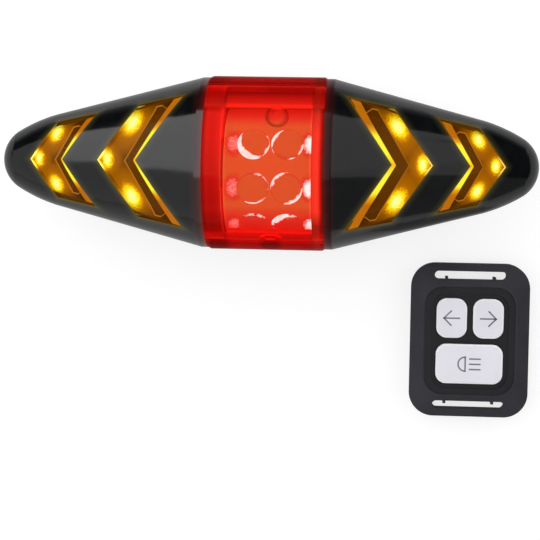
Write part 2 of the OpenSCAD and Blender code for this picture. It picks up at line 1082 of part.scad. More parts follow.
module strap_slots() {
    for (y = [-1, 1])
        translate([0, 0, -1])
            linear_extrude(height = far)
                difference() {
                    translate([0, y * slot_y])
                        rounded(slot_len, slot_w, slot_w / 2 - 0.01);
                    for (x = [-1, 1])
                        translate([x * slot_len / 3 - 0.4, y * (slot_y - slot_w / 2) - 0.8])
                            square([0.8, 1.6]);
                }
}

module remote_pilots() {
    for (x = [-1, 1])
        for (y = [-1, 1])
            rod([x * remote_boss[0], y * remote_boss[1]], pilot_r - 0.15, 0, lower_top - 0.6);
}

module button(w) {
    plate(w, key_h, key_corner, flange_z, remote_t + key_proud);
    plate(w + 2 * key_flange, key_h + 2 * key_flange, key_corner + key_flange, flange_z, flange_z + flange_t);
    rod([0, 0], stem_r, stem_z, flange_z + 0.1);
}

module left_button() {
    color("#dedce4")
        on_remote()
            at_left_key()
                button(key_w);
}

module right_button() {
    color("#dedce4")
        on_remote()
            at_right_key()
                button(key_w);
}

module light_button() {
    color("#dedce4")
        on_remote()
            at_light_key()
                button(wide_w);
}

module keypad_seal() {
    color("#56585c")
        on_remote()
            difference() {
                plate(2 * upper_x - 0.4, 2 * upper_y - 0.4, 2.8, seal_z, seal_z + seal_t);
                at_left_key()
                    rod([0, 0], stem_r + 0.4, 0, far);
                at_right_key()
                    rod([0, 0], stem_r + 0.4, 0, far);
                at_light_key()
                    rod([0, 0], stem_r + 0.4, 0, far);
            }
}

module remote_board() {
    color("#1d4f37")
        on_remote()
            difference() {
                plate(2 * lower_x - 0.6, 2 * lower_y - 0.6, 2.7,
                    remote_board_z, remote_board_z + remote_board_t);
                for (x = [-1, 1])
                    for (y = [-1, 1])
                        rod([x * remote_boss[0], y * remote_boss[1]], remote_boss_r + 0.3, 0, far);
            }
}

module remote_switches() {
    color("#cfd1d4")
        on_remote() {
            at_left_key()
                snap_dome();
            at_right_key()
                snap_dome();
            at_light_key()
                snap_dome();
        }
}

module snap_dome() {
    rod([0, 0], 2.5, dome_z + 0.01, dome_z + dome_t / 2);
    rod([0, 0], 1.8, dome_z + 0.01, dome_z + dome_t);
}

module coin_cell() {
    color("#c6c8cb")
        on_remote() {
            rod([0, 0], coin_d / 2 - 1.2, coin_z, coin_z + 1);
            rod([0, 0], coin_d / 2, coin_z + 0.4, coin_z + coin_t);
        }
}

module coin_clip() {
    color("#c9c5ba")
        on_remote()
            difference() {
                plate(6, coin_d + 3, 1, coin_z + 0.6, coin_clip_z + coin_clip_t);
                rod([0, 0], coin_d / 2 + fit, 0, coin_clip_z);
            }
}

module remote_back() {
    color("#2a2a2d")
        on_remote()
            difference() {
                plate(2 * (lower_x + cover_lip), 2 * (lower_y + cover_lip), 4.5, 0, shell_z - 0.02);
                rod([0, 0], door_d / 2 + run, -1, far);
                for (a = [0, 180])
                    rotate([0, 0, a])
                        translate([-2.4, 0, -1])
                            cube([4.8, door_d / 2 + 1.4, far]);
                for (x = [-1, 1])
                    for (y = [-1, 1]) {
                        rod([x * remote_boss[0], y * remote_boss[1]], clear_r - 0.2, -1, far);
                        rod([x * remote_boss[0], y * remote_boss[1]], 1.9, -1, 0.8);
                    }
            }
}

module battery_door() {
    color("#2f2f33")
        on_remote()
            difference() {
                union() {
                    rod([0, 0], door_d / 2, 0, shell_z - 0.02);
                    translate([-door_d / 2 + 2, -2, shell_z - 0.4])
                        cube([door_d - 4, 4, 0.6]);
                    intersection() {
                        rod([0, 0], door_d / 2 + 1.1, door_lug_z, door_lug_z + door_lug_t);
                        translate([-far, -2, 0])
                            cube([2 * far, 4, far]);
                    }
                }
                translate([-door_groove[0] / 2, -door_groove[1] / 2, -1])
                    cube([door_groove[0], door_groove[1], 1.7]);
            }
}

module remote_screws() {
    color("#b9bcc0")
        on_remote()
            for (x = [-1, 1])
                for (y = [-1, 1]) {
                    rod([x * remote_boss[0], y * remote_boss[1]], 1.7, 0.1, 0.75);
                    rod([x * remote_boss[0], y * remote_boss[1]], 0.8, 0.5, lower_top - 1);
                }
}

rear_housing();
front_housing();
housing_seal();
housing_screws();
red_lens();
red_panel();
red_beads();
red_leds();
red_led_strip();
amber_lens(inner, -1);  // amber_lens_left_inner
amber_lens(outer, -1);  // amber_lens_left_outer
amber_lens(inner, 1);  // amber_lens_right_inner
amber_lens(outer, 1);  // amber_lens_right_outer
light_box(inner, inner_z, -1);  // light_box_left_inner
light_box(outer, outer_z, -1);  // light_box_left_outer
light_box(inner, inner_z, 1);  // light_box_right_inner
light_box(outer, outer_z, 1);  // light_box_right_outer
diffuser(inner, inner_z, -1);  // diffuser_left_inner
diffuser(outer, outer_z, -1);  // diffuser_left_outer
diffuser(inner, inner_z, 1);  // diffuser_right_inner
diffuser(outer, outer_z, 1);  // diffuser_right_outer
amber_leds(-1);  // amber_leds_left
amber_leds(1);  // amber_leds_right
signal_board(-1);  // signal_board_left
signal_board(1);  // signal_board_right
battery_cell();
battery_clips();
main_board();
usb_socket();
switch_board();
power_switch();
power_button();
port_cover();
cradle();
cradle_pad();
cradle_screws();
remote_front();
remote_back();
left_button();
right_button();
light_button();
keypad_seal();
remote_board();
remote_switches();
coin_cell();
coin_clip();
battery_door();
remote_screws();
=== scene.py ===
import json
import math

import bmesh
import bpy
from mathutils import Matrix, Vector

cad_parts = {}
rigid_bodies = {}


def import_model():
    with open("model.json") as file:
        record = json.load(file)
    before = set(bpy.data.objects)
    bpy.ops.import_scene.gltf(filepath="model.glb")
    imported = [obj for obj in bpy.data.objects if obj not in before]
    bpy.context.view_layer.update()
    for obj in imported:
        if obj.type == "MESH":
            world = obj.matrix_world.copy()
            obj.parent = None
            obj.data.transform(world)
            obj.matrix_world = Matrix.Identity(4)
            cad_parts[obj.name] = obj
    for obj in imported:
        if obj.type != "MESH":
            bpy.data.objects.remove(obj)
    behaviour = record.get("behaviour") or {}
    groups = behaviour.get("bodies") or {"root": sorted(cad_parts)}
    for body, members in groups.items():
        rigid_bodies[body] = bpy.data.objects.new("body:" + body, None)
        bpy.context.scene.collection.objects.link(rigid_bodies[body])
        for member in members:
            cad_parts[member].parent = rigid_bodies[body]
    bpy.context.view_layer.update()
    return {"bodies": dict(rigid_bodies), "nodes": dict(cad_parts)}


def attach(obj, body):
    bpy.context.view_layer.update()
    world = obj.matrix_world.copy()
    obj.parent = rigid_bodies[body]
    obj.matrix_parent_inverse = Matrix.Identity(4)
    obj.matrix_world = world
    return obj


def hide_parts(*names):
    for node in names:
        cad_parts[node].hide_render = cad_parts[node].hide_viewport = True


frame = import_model()
scene = bpy.context.scene
scene.view_settings.view_transform = "Standard"

# Sizes in millimetres that the looks share with the solids: the lamp axis, the red lens and its lights
MM = 0.001
LAMP_Y = 23.675
LAMP_Z = 23.0
LENS_HALF = 16.2
LENS_REACH = 24.2
LIGHT_SHIFT = 1.7
PANEL_DROP = 2.2
PANEL_R = 17.3
PANEL_ENDS = (4.0, 40.0)
BEAD_R = 4.35
BEAD_X = 4.6
BEAD_SEAT = 1.05
BEAD_RISE = 1.6
BEAD_ANGLES = (25, -16, -57)
BEAD_STEP = 41
SIDE_LIGHT_X = 10.45
SIDE_LIGHT_SHIFT = 0.5
SIDE_CORE = (2.4, 1.7)
LENS_POST = (3.5, 12.5)
LENS_POST_R = 2.9
LENS_BUTTON = (1.4, -22.4)
LENS_BUTTON_SIZE = (2.9, 1.3)
# The floor inside the rear housing and half its width there
REAR_FLOOR = 14.0
REAR_INSIDE = 20.2
# The remote, the width, height and corner of the bed of its keys, and the keys
REMOTE_X = 57.4
REMOTE_Y = -25.825
BED = (25.65, 30.75, 5.0)
KEY_TOP = 11.3
KEY_BASE = 9.4
KEY_W = 8.65
KEY_H = 11.3
KEY_GAP = 1.75
KEY_CORNER = 2.95
KEY_EDGE = 0.5
KEY_CROWN = 0.04
KEY_CROWN_STEP = 0.6
# Thickness and width of a printed line, the arrow sign and the lamp sign
PRINT_T = 0.02
PRINT_W = 0.42
ARROW_HALF = 2.2
ARROW_BARB = (0.15, 2.05)
SIGN_R = 2.0
SIGN_BEAM = (1.3, 4.2)
SIGN_BEAM_STEP = 1.5
SIGN_SHIFT = 1.1
# Facets round the corners and the upper edge of a key, the lamp sign, and the crown and rim of a bead
KEY_CORNER_FACETS = 10
KEY_EDGE_FACETS = 6
SIGN_FACETS = 20
BEAD_CROWN_FACETS = 10
BEAD_FACETS = 48

# The arrow windows in the upper right quarter: notch, tip, far corners of an arm, light box floor, pocket
# width, the half length and half width of the bright cores at the tip and on the arms, and the way from the
# tip to its core
INNER = {"notch": 34.7, "tip": 45.7, "start": (22.3, 18.1), "shoulder": (34.87, 15.46), "floor": 31.0,
         "pocket": 3.0, "tip_core": (1.85, 1.1), "arm_core": (2.55, 1.5), "tip_inset": 2.35}
OUTER = {"notch": 55.8, "tip": 65.5, "start": (46.95, 12.93), "shoulder": (58.09, 10.58), "floor": 27.0,
         "pocket": 2.3, "tip_core": (1.5, 0.95), "arm_core": (1.8, 1.1), "tip_inset": 2.2}
# In every light box: the lights on the arms, the ledge by the notch and the pocket of the diffuser
LED_INSET = 2.35
LED_ARM = 0.645
LEDGE_MID = 0.9
LEDGE_END = 2.6
POCKET_END = 4.4
POCKET_CORNER = 1.1
# The cores show a little up and to the left of the lights
CORE_SHIFT = (0.5, 0.3)
# How far a core glows, in its own radii, and how much the grain breaks it up
GLOW_REACH = 5.0
GRAIN_SPREAD = 1.3
# Where the ledge by the notch gives way to the outer walls of a light box
LEDGE_EDGE = (3.6, 4.4)

# How far the painted glow of the red lens and the arrows reaches on the housing, the edge of the dull collar
# beside the lens, and where the painted red light on the rear floor fades
PAINTED_RED_SPILL = 3.6
PAINTED_AMBER_SPILL = 1.8
COLLAR_EDGE = (2.1, 2.7)
PAINTED_FLOOR_FADE = (15.2, 17.6)

# Strength of the light in the arrows, and of each face of a lit lens
AMBER_LIGHT = 2.2
LENS_LIGHT = 0.45
# Light that looks white through the red lens
WHITE_THROUGH_RED = (2.5, 3.0, 3.7, 1.0)

ABS_IOR = 1.53
# Shades, roughness, grit and depth of grit of ABS from a spark-eroded tool
SATIN_ABS = ("#101114", "#16171a", (0.4, 0.5), 0.4, 0.015)
# The part of its range that a noise mostly covers
NOISE_LOW = 0.3
NOISE_HIGH = 0.7
SHARP_ANGLE = math.radians(40)


# Small helpers

def tint(code):
    """Turns an sRGB hex colour to linear."""
    parts = [int(code[i:i + 2], 16) / 255 for i in (1, 3, 5)]
    return tuple(c / 12.92 if c <= 0.04045 else ((c + 0.055) / 1.055) ** 2.4 for c in parts) + (1.0,)


def per_mm(size):
    """The scale of a pattern whose features are this many millimetres wide."""
    return 1 / (size * MM)


def shades(dark, light):
    """Colour stops over the values of a noise."""
    return [(NOISE_LOW, dark), (NOISE_HIGH, light)]


def over_noise(noise, low, high):
    """Inputs that spread the values of a noise from low to high."""
    return {"Value": noise, 1: NOISE_LOW, 2: NOISE_HIGH, 3: low, 4: high}


def fill(tree, node, inputs):
    """Gives a node's inputs their values. A node or a socket is linked."""
    for key, value in inputs.items():
        if isinstance(value, bpy.types.Node):
            value = value.outputs[0]
        if isinstance(value, bpy.types.NodeSocket):
            tree.links.new(value, node.inputs[key])
        else:
            node.inputs[key].default_value = value


def add(tree, kind, inputs=None, stops=(), **settings):
    """Adds one node with its settings, links and colour stops."""
    node = tree.nodes.new(kind)
    for name, value in settings.items():
        setattr(node, name, value)
    fill(tree, node, inputs or {})
    for i, (position, code) in enumerate(stops):
        points = node.color_ramp.elements
        point = points[i] if i < 2 else points.new(position)
        point.position = position
        point.color = tint(code)
    return node


def finish(name):
    """Starts a material. Returns it with its tree, its surface and Object coordinates."""
    made = bpy.data.materials.new(name)
    made.use_nodes = True
    tree = made.node_tree
    place = add(tree, "ShaderNodeTexCoord").outputs["Object"]
    return made, tree, tree.nodes["Principled BSDF"], place


def moulded(name, dark, light, rough, grit_mm, depth_mm, ior=ABS_IOR):
    """A moulded piece: a slow drift in colour, and a grit that sets the gloss and breaks the highlight."""
    made, tree, surface, place = finish(name)
    grit = add(tree, "ShaderNodeTexNoise", {"Vector": place, "Scale": per_mm(grit_mm), "Detail": 5.0})
    drift = add(tree, "ShaderNodeTexNoise", {"Vector": place, "Scale": per_mm(11.0), "Detail": 3.0})
    fill(tree, surface, {
        "IOR": ior,
        "Base Color": add(tree, "ShaderNodeValToRGB", {"Fac": drift}, shades(dark, light)),
        "Roughness": add(tree, "ShaderNodeMapRange", over_noise(grit, *rough)),
        "Normal": add(tree, "ShaderNodeBump", {"Height": grit, "Distance": depth_mm * MM}),
    })
    return made


def metal(name, dark, light, rough, grit_mm):
    """A metal: full reflection in its own colour, with fine marks from handling."""
    made, tree, surface, place = finish(name)
    marks = add(tree, "ShaderNodeTexNoise", {"Vector": place, "Scale": per_mm(grit_mm), "Detail": 6.0})
    fill(tree, surface, {
        "Metallic": 1.0,
        "Base Color": add(tree, "ShaderNodeValToRGB", {"Fac": marks}, [(0.35, dark), (0.65, light)]),
        "Roughness": add(tree, "ShaderNodeMapRange", over_noise(marks, *rough)),
        "Normal": add(tree, "ShaderNodeBump", {"Height": marks, "Distance": 0.004 * MM}),
    })
    return made


# Places on the lamp, in millimetres

def lamp_place(tree, place, shift=(0.0, 0.0)):
    """How far right of the middle of the lamp, above its axis and high."""
    apart = add(tree, "ShaderNodeSeparateXYZ", {0: place})
    right = add(tree, "ShaderNodeMath", {0: apart.outputs["X"], 1: 1 / MM, 2: shift[0]},
                operation="MULTIPLY_ADD")
    above = add(tree, "ShaderNodeMath", {0: apart.outputs["Y"], 1: 1 / MM, 2: -LAMP_Y - shift[1]},
                operation="MULTIPLY_ADD")
    height = add(tree, "ShaderNodeMath", {0: apart.outputs["Z"], 1: 1 / MM}, operation="MULTIPLY")
    return right, above, height


def folded_place(tree, place, shift=(0.0, 0.0)):
    """How far along, up and high: the same on both wings and on both sides of the lamp axis."""
    right, above, height = lamp_place(tree, place, shift)
    along = add(tree, "ShaderNodeMath", {0: right}, operation="ABSOLUTE")
    up = add(tree, "ShaderNodeMath", {0: above}, operation="ABSOLUTE")
    return along, up, height


def past(tree, along, up, start, way):
    """Distance past a start, measured one way."""
    offset = -(start.x * way.x + start.y * way.y)
    first = add(tree, "ShaderNodeMath", {0: along, 1: way.x, 2: offset}, operation="MULTIPLY_ADD")
    return add(tree, "ShaderNodeMath", {0: up, 1: way.y, 2: first}, operation="MULTIPLY_ADD")


def spot_distance(tree, along, up, middle, size=(1.0, 1.0)):
    """Distance from the middle of a spot, where 1 is its rim."""
    flat = add(tree, "ShaderNodeCombineXYZ")
    for i, value in enumerate((along, up)):
        fill(tree, flat, {i: add(tree, "ShaderNodeMath", {0: value, 1: 1 / size[i], 2: -middle[i] / size[i]},
                                 operation="MULTIPLY_ADD")})
    return add(tree, "ShaderNodeVectorMath", {0: flat}, operation="LENGTH").outputs["Value"]


def furthest(tree, *values):
    """The largest of several distances."""
    reach = values[0]
    for value in values[1:]:
        reach = add(tree, "ShaderNodeMath", {0: reach, 1: value}, operation="MAXIMUM")
    return reach


def corners(arrow):
    """The notch, the tip and the two far corners of an arm."""
    return (Vector((arrow["notch"], 0.0)), Vector((arrow["tip"], 0.0)),
            Vector(arrow["start"]), Vector(arrow["shoulder"]))


def across(way):
    """The direction a quarter turn to the right."""
    return Vector((way.y, -way.x))


def glow_distance(tree, place, *arrows):
    """Distance to the nearest light of some arrows, where 1 is the rim of its bright core."""
    along, up, _ = folded_place(tree, place, CORE_SHIFT)
    nearest = None
    for arrow in arrows:
        _, tip, _, shoulder = corners(arrow)
        arm = (shoulder - tip).normalized()
        tip_spot = tip - Vector((arrow["tip_inset"], 0.0))
        arm_spot = tip.lerp(shoulder, LED_ARM) - Vector((LED_INSET, 0.0))
        for spot, way, core in ((tip_spot, Vector((0.0, 1.0)), arrow["tip_core"]),
                                (arm_spot, arm, arrow["arm_core"])):
            flat = add(tree, "ShaderNodeCombineXYZ", {
                "X": past(tree, along, up, spot, way / core[0]),
                "Y": past(tree, along, up, spot, across(way) / core[1])})
            away = add(tree, "ShaderNodeVectorMath", {0: flat}, operation="LENGTH").outputs["Value"]
            if nearest:
                away = add(tree, "ShaderNodeMath", {0: nearest, 1: away}, operation="MINIMUM")
            nearest = away
    return nearest


def amber_glow(tree, place, grain, *arrows):
    """Light on frosted amber: yellow white at each light, brown far from it, with a grainy rim."""
    away = add(tree, "ShaderNodeMath", {0: grain, 1: GRAIN_SPREAD, 2: glow_distance(tree, place, *arrows)},
               operation="MULTIPLY_ADD")
    spread = add(tree, "ShaderNodeMapRange", {
        "Value": away, 1: GRAIN_SPREAD / 2, 2: GRAIN_SPREAD / 2 + GLOW_REACH})
    return add(tree, "ShaderNodeValToRGB", {"Fac": spread}, [
        (0.0, "#b4d1ff"), (0.1, "#b4d1df"), (0.16, "#b4ce7a"), (0.2, "#b4be15"), (0.25, "#b4a000"),
        (0.3, "#957100"), (0.38, "#755000"), (0.6, "#674300"), (0.8, "#472c00"), (1.0, "#331f00")])


def window_distance(tree, along, up, arrow):
    """Distance outside an arrow window, below zero inside it."""
    notch, tip, start, shoulder = corners(arrow)
    return furthest(tree,
                    past(tree, along, up, notch, -across((start - notch).normalized())),
                    past(tree, along, up, tip, across((shoulder - tip).normalized())),
                    past(tree, along, up, start, -across((shoulder - start).normalized())))


def pocket_distance(tree, along, up, arrow):
    """Distance outside the pocket of a diffuser, below zero inside it."""
    notch, _, start, shoulder = corners(arrow)
    foot = notch + Vector((LEDGE_MID, 0.0))
    end = start + LEDGE_END * (shoulder - start).normalized()
    way = (end - foot).normalized()
    beside = past(tree, along, up, foot + arrow["pocket"] * across(way), across(way))
    beyond = past(tree, along, up, foot + ((end - foot).length - POCKET_END) * way, way)
    both = add(tree, "ShaderNodeMath", {0: beside, 1: beyond}, operation="ADD")
    corner = add(tree, "ShaderNodeMath", {0: both, 1: math.sqrt(0.5), 2: POCKET_CORNER * math.sqrt(0.5)},
                 operation="MULTIPLY_ADD")
    return furthest(tree, beside, beyond, corner)


# Finishes of the lamp

def gloss_black_abs():
    # ABS from a polished tool: deep black and mirror-like, with the faint long waves of a cooling wall.
    # A painted glow of the red lens and the arrows spills on it. The walls of the windows are dull, and so
    # is the collar to the right of the lens.
    made, tree, surface, place = finish("gloss_black_abs")
    waves = add(tree, "ShaderNodeTexNoise", {"Vector": place, "Scale": per_mm(16.0), "Detail": 1.0})
    haze = add(tree, "ShaderNodeTexNoise", {"Vector": place, "Scale": per_mm(3.0), "Detail": 4.0})
    along, up, _ = folded_place(tree, place)
    # Painted glow: red beside the lens, amber round the arrow windows
    beside = add(tree, "ShaderNodeMapRange", {"Value": along, 1: LENS_HALF, 2: LENS_HALF + PAINTED_RED_SPILL})
    red = add(tree, "ShaderNodeValToRGB", {"Fac": beside}, [
        (0.0, "#5c0503"), (0.4, "#2c0201"), (1.0, "#000000")])
    outside = add(tree, "ShaderNodeMath", {0: window_distance(tree, along, up, INNER),
                                           1: window_distance(tree, along, up, OUTER)}, operation="MINIMUM")
    painted_amber_fade = add(tree, "ShaderNodeMapRange", {"Value": outside, 1: 0.0, 2: PAINTED_AMBER_SPILL})
    amber = add(tree, "ShaderNodeValToRGB", {"Fac": painted_amber_fade}, [
        (0.0, "#484010"), (0.4, "#221e08"), (1.0, "#000000")])
    gloss = add(tree, "ShaderNodeMapRange", over_noise(haze, 0.1, 0.14))
    right, _, _ = lamp_place(tree, place)
    collar = add(tree, "ShaderNodeMapRange", {
        "Value": right, 1: LENS_HALF + COLLAR_EDGE[0], 2: LENS_HALF + COLLAR_EDGE[1], 3: 0.08, 4: 0.5})
    left = add(tree, "ShaderNodeMapRange", {"Value": right, 1: 0.0, 2: -1.0, 3: 0.0, 4: 0.5})
    window_wall = add(tree, "ShaderNodeMapRange", {"Value": outside, 1: 0.1, 2: 0.0, 3: 0.0, 4: 0.6})
    fill(tree, surface, {
        "IOR": ABS_IOR,
        "Base Color": add(tree, "ShaderNodeValToRGB", {"Fac": haze}, shades("#08090a", "#0d0e10")),
        "Roughness": furthest(tree, gloss, window_wall),
        "Specular IOR Level": furthest(tree, collar, left),
        "Normal": add(tree, "ShaderNodeBump", {"Height": waves, "Distance": 0.012 * MM}),
        "Emission Color": add(tree, "ShaderNodeVectorMath", {0: red, 1: amber}, operation="ADD"),
        "Emission Strength": 1.0,
    })
    return made


def frosted_amber(arrow, label):
    # Frosted amber polycarbonate over lights, with their light painted on it: yellow white by each light,
    # brown far from them, grainy between
    made, tree, surface, place = finish("frosted_amber_" + label)
    grain = add(tree, "ShaderNodeTexNoise", {"Vector": place, "Scale": per_mm(0.35), "Detail": 4.0})
    glow = amber_glow(tree, place, grain, arrow)
    along, up, _ = folded_place(tree, place)
    shoulder = corners(arrow)[3]
    # Painted shade dims the glow towards the arm ends; a paler line is painted along the pocket's rim
    dim = add(tree, "ShaderNodeMapRange", {
        "Value": up, 1: 0.72 * shoulder.y, 2: 1.02 * shoulder.y, 3: 1.0, 4: 0.32})
    shaded = add(tree, "ShaderNodeVectorMath", {0: glow, "Scale": dim}, operation="SCALE")
    line = add(tree, "ShaderNodeMapRange", {
        "Value": pocket_distance(tree, along, up, arrow), 1: 0.22, 2: 0.1})
    lined = add(tree, "ShaderNodeMix", {0: line, 6: shaded, 7: tint("#7e5a2c")}, data_type="RGBA")
    fill(tree, surface, {
        "Base Color": add(tree, "ShaderNodeValToRGB", {"Fac": grain}, shades("#221302", "#2e1b04")),
        "Roughness": 0.5,
        "Specular IOR Level": 0.1,
        "Emission Color": lined.outputs[2],
        "Emission Strength": AMBER_LIGHT,
        "Normal": add(tree, "ShaderNodeBump", {"Height": grain, "Distance": 0.03 * MM}),
    })
    return made


def amber_reflector(arrow, label):
    # Amber moulding round the lights, with their light painted on it: its ledge is bright by the notch and
    # orange at the arm ends
    made, tree, surface, place = finish("amber_reflector_" + label)
    along, up, height = folded_place(tree, place)
    notch, _, start, _ = corners(arrow)
    share = add(tree, "ShaderNodeMapRange", {"Value": up, 1: 0.0, 2: start.y})
    ledge = add(tree, "ShaderNodeValToRGB", {"Fac": share}, [
        (0.0, "#b49b23"), (0.08, "#b4b832"), (0.16, "#b4cc6b"), (0.42, "#b4c95d"), (0.5, "#a38223"),
        (0.6, "#825515"), (1.0, "#82591d")])
    # Painted light on the walls near each light, and on the floor close to them
    far = add(tree, "ShaderNodeMapRange", {"Value": glow_distance(tree, place, arrow), 1: 0.8, 2: 3.6})
    wall = add(tree, "ShaderNodeValToRGB", {"Fac": far}, [
        (0.0, "#b4c988"), (0.2, "#967a00"), (0.4, "#614000"), (0.7, "#412900"), (1.0, "#301d00")])
    dark = add(tree, "ShaderNodeValToRGB", {"Fac": share}, [(0.0, "#3b2200"), (1.0, "#2e1a00")])
    close = add(tree, "ShaderNodeMapRange", {"Value": far, 1: 0.25, 2: 0.1})
    floor = add(tree, "ShaderNodeMix", {0: close, 6: dark, 7: tint("#b4cca5")}, data_type="RGBA")
    inside = past(tree, along, up, notch, across((start - notch).normalized()))
    outward = add(tree, "ShaderNodeMapRange", {"Value": inside, 1: LEDGE_EDGE[0], 2: LEDGE_EDGE[1]})
    sides = add(tree, "ShaderNodeMix", {0: outward, 6: ledge, 7: wall}, data_type="RGBA")
    raised = add(tree, "ShaderNodeMapRange", {
        "Value": height, 1: arrow["floor"] + 0.1, 2: arrow["floor"] + 0.3})
    lit = add(tree, "ShaderNodeMix", {0: raised, 6: floor.outputs[2], 7: sides.outputs[2]}, data_type="RGBA")
    drift = add(tree, "ShaderNodeTexNoise", {"Vector": place, "Scale": per_mm(1.5), "Detail": 3.0})
    fill(tree, surface, {
        "Base Color": add(tree, "ShaderNodeValToRGB", {"Fac": drift}, shades("#221302", "#2e1b04")),
        "Roughness": 0.4,
        "Specular IOR Level": 0.1,
        "Emission Color": lit.outputs[2],
        "Emission Strength": AMBER_LIGHT,
    })
    return made


def clear_amber(arrow, label):
    # Clear amber polycarbonate, moulded: a window with little glare. A painted glow shows where light leaves
    # through its edges, bright at the tip and dull brown at the arm ends.
    made, tree, surface, place = finish("clear_amber_polycarbonate_" + label)
    haze = add(tree, "ShaderNodeTexNoise", {"Vector": place, "Scale": per_mm(2.0), "Detail": 4.0})
    along, up, _ = folded_place(tree, place)
    _, tip, start, shoulder = corners(arrow)
    end = past(tree, along, up, start, -across((shoulder - start).normalized()))
    dull = add(tree, "ShaderNodeMapRange", {"Value": end, 1: -2.0, 2: -0.8})
    brown = add(tree, "ShaderNodeValToRGB", {"Fac": dull}, [(0.0, "#000000"), (1.0, "#3c1e00")])
    edge = past(tree, along, up, tip, across((shoulder - tip).normalized()))
    rim = add(tree, "ShaderNodeMapRange", {"Value": edge, 1: -0.5, 2: -0.35})
    near = add(tree, "ShaderNodeMapRange", {"Value": up, 1: 3.0, 2: 1.4})
    bright = add(tree, "ShaderNodeMath", {0: rim, 1: near}, operation="MULTIPLY")
    glow = add(tree, "ShaderNodeMix", {0: bright, 6: brown, 7: tint("#f8e47c")}, data_type="RGBA")
    fill(tree, surface, {
        "Transmission Weight": 1.0,
        "IOR": 1.14,
        "Specular IOR Level": 0.2,
        "Base Color": add(tree, "ShaderNodeValToRGB", {"Fac": haze}, shades("#ffd86c", "#ffdc78")),
        "Roughness": add(tree, "ShaderNodeMapRange", over_noise(haze, 0.01, 0.03)),
        "Emission Color": glow.outputs[2],
        "Emission Strength": LENS_LIGHT,
    })
    return made


def lit_amber_chip():
    # Light chips under a clear dome, lit: each one is lost in its own glow
    made, tree, surface, place = finish("lit_amber_chip")
    grain = add(tree, "ShaderNodeTexNoise", {"Vector": place, "Scale": per_mm(0.35), "Detail": 4.0})
    fill(tree, surface, {
        "Base Color": tint("#2e1b04"),
        "Roughness": 0.3,
        "Specular IOR Level": 0.1,
        "Emission Color": amber_glow(tree, place, grain, INNER, OUTER),
        "Emission Strength": AMBER_LIGHT,
    })
    return made


def red_tint(tree, right, above, haze):
    """Red lens colour: pale over the lights, deeper at its ends, a ring of painted shade round its post."""
    away = spot_distance(tree, right, above, LENS_POST)
    # Painted shade: a darker ring round the post
    ring = add(tree, "ShaderNodeMapRange", {"Value": away, 1: LENS_POST_R - 1.0, 2: LENS_POST_R + 0.3})
    shade = add(tree, "ShaderNodeValToRGB", {"Fac": ring}, [
        (0.0, "#ff9888"), (0.25, "#f09080"), (0.5, "#c07060"), (0.75, "#c07060"), (0.95, "#ff9888")])
    off_axis = add(tree, "ShaderNodeMath", {0: above}, operation="ABSOLUTE")
    outer = add(tree, "ShaderNodeMapRange", {"Value": off_axis, 1: 16.0, 2: 19.0})
    deeper = add(tree, "ShaderNodeMix", {0: outer, 6: shade, 7: tint("#ff5040")}, data_type="RGBA")
    return add(tree, "ShaderNodeMix", {
        0: 1.0, 6: deeper.outputs[2],
        7: add(tree, "ShaderNodeValToRGB", {"Fac": haze}, shades("#fff4f2", "#ffffff"))},
        data_type="RGBA", blend_type="MULTIPLY").outputs[2]


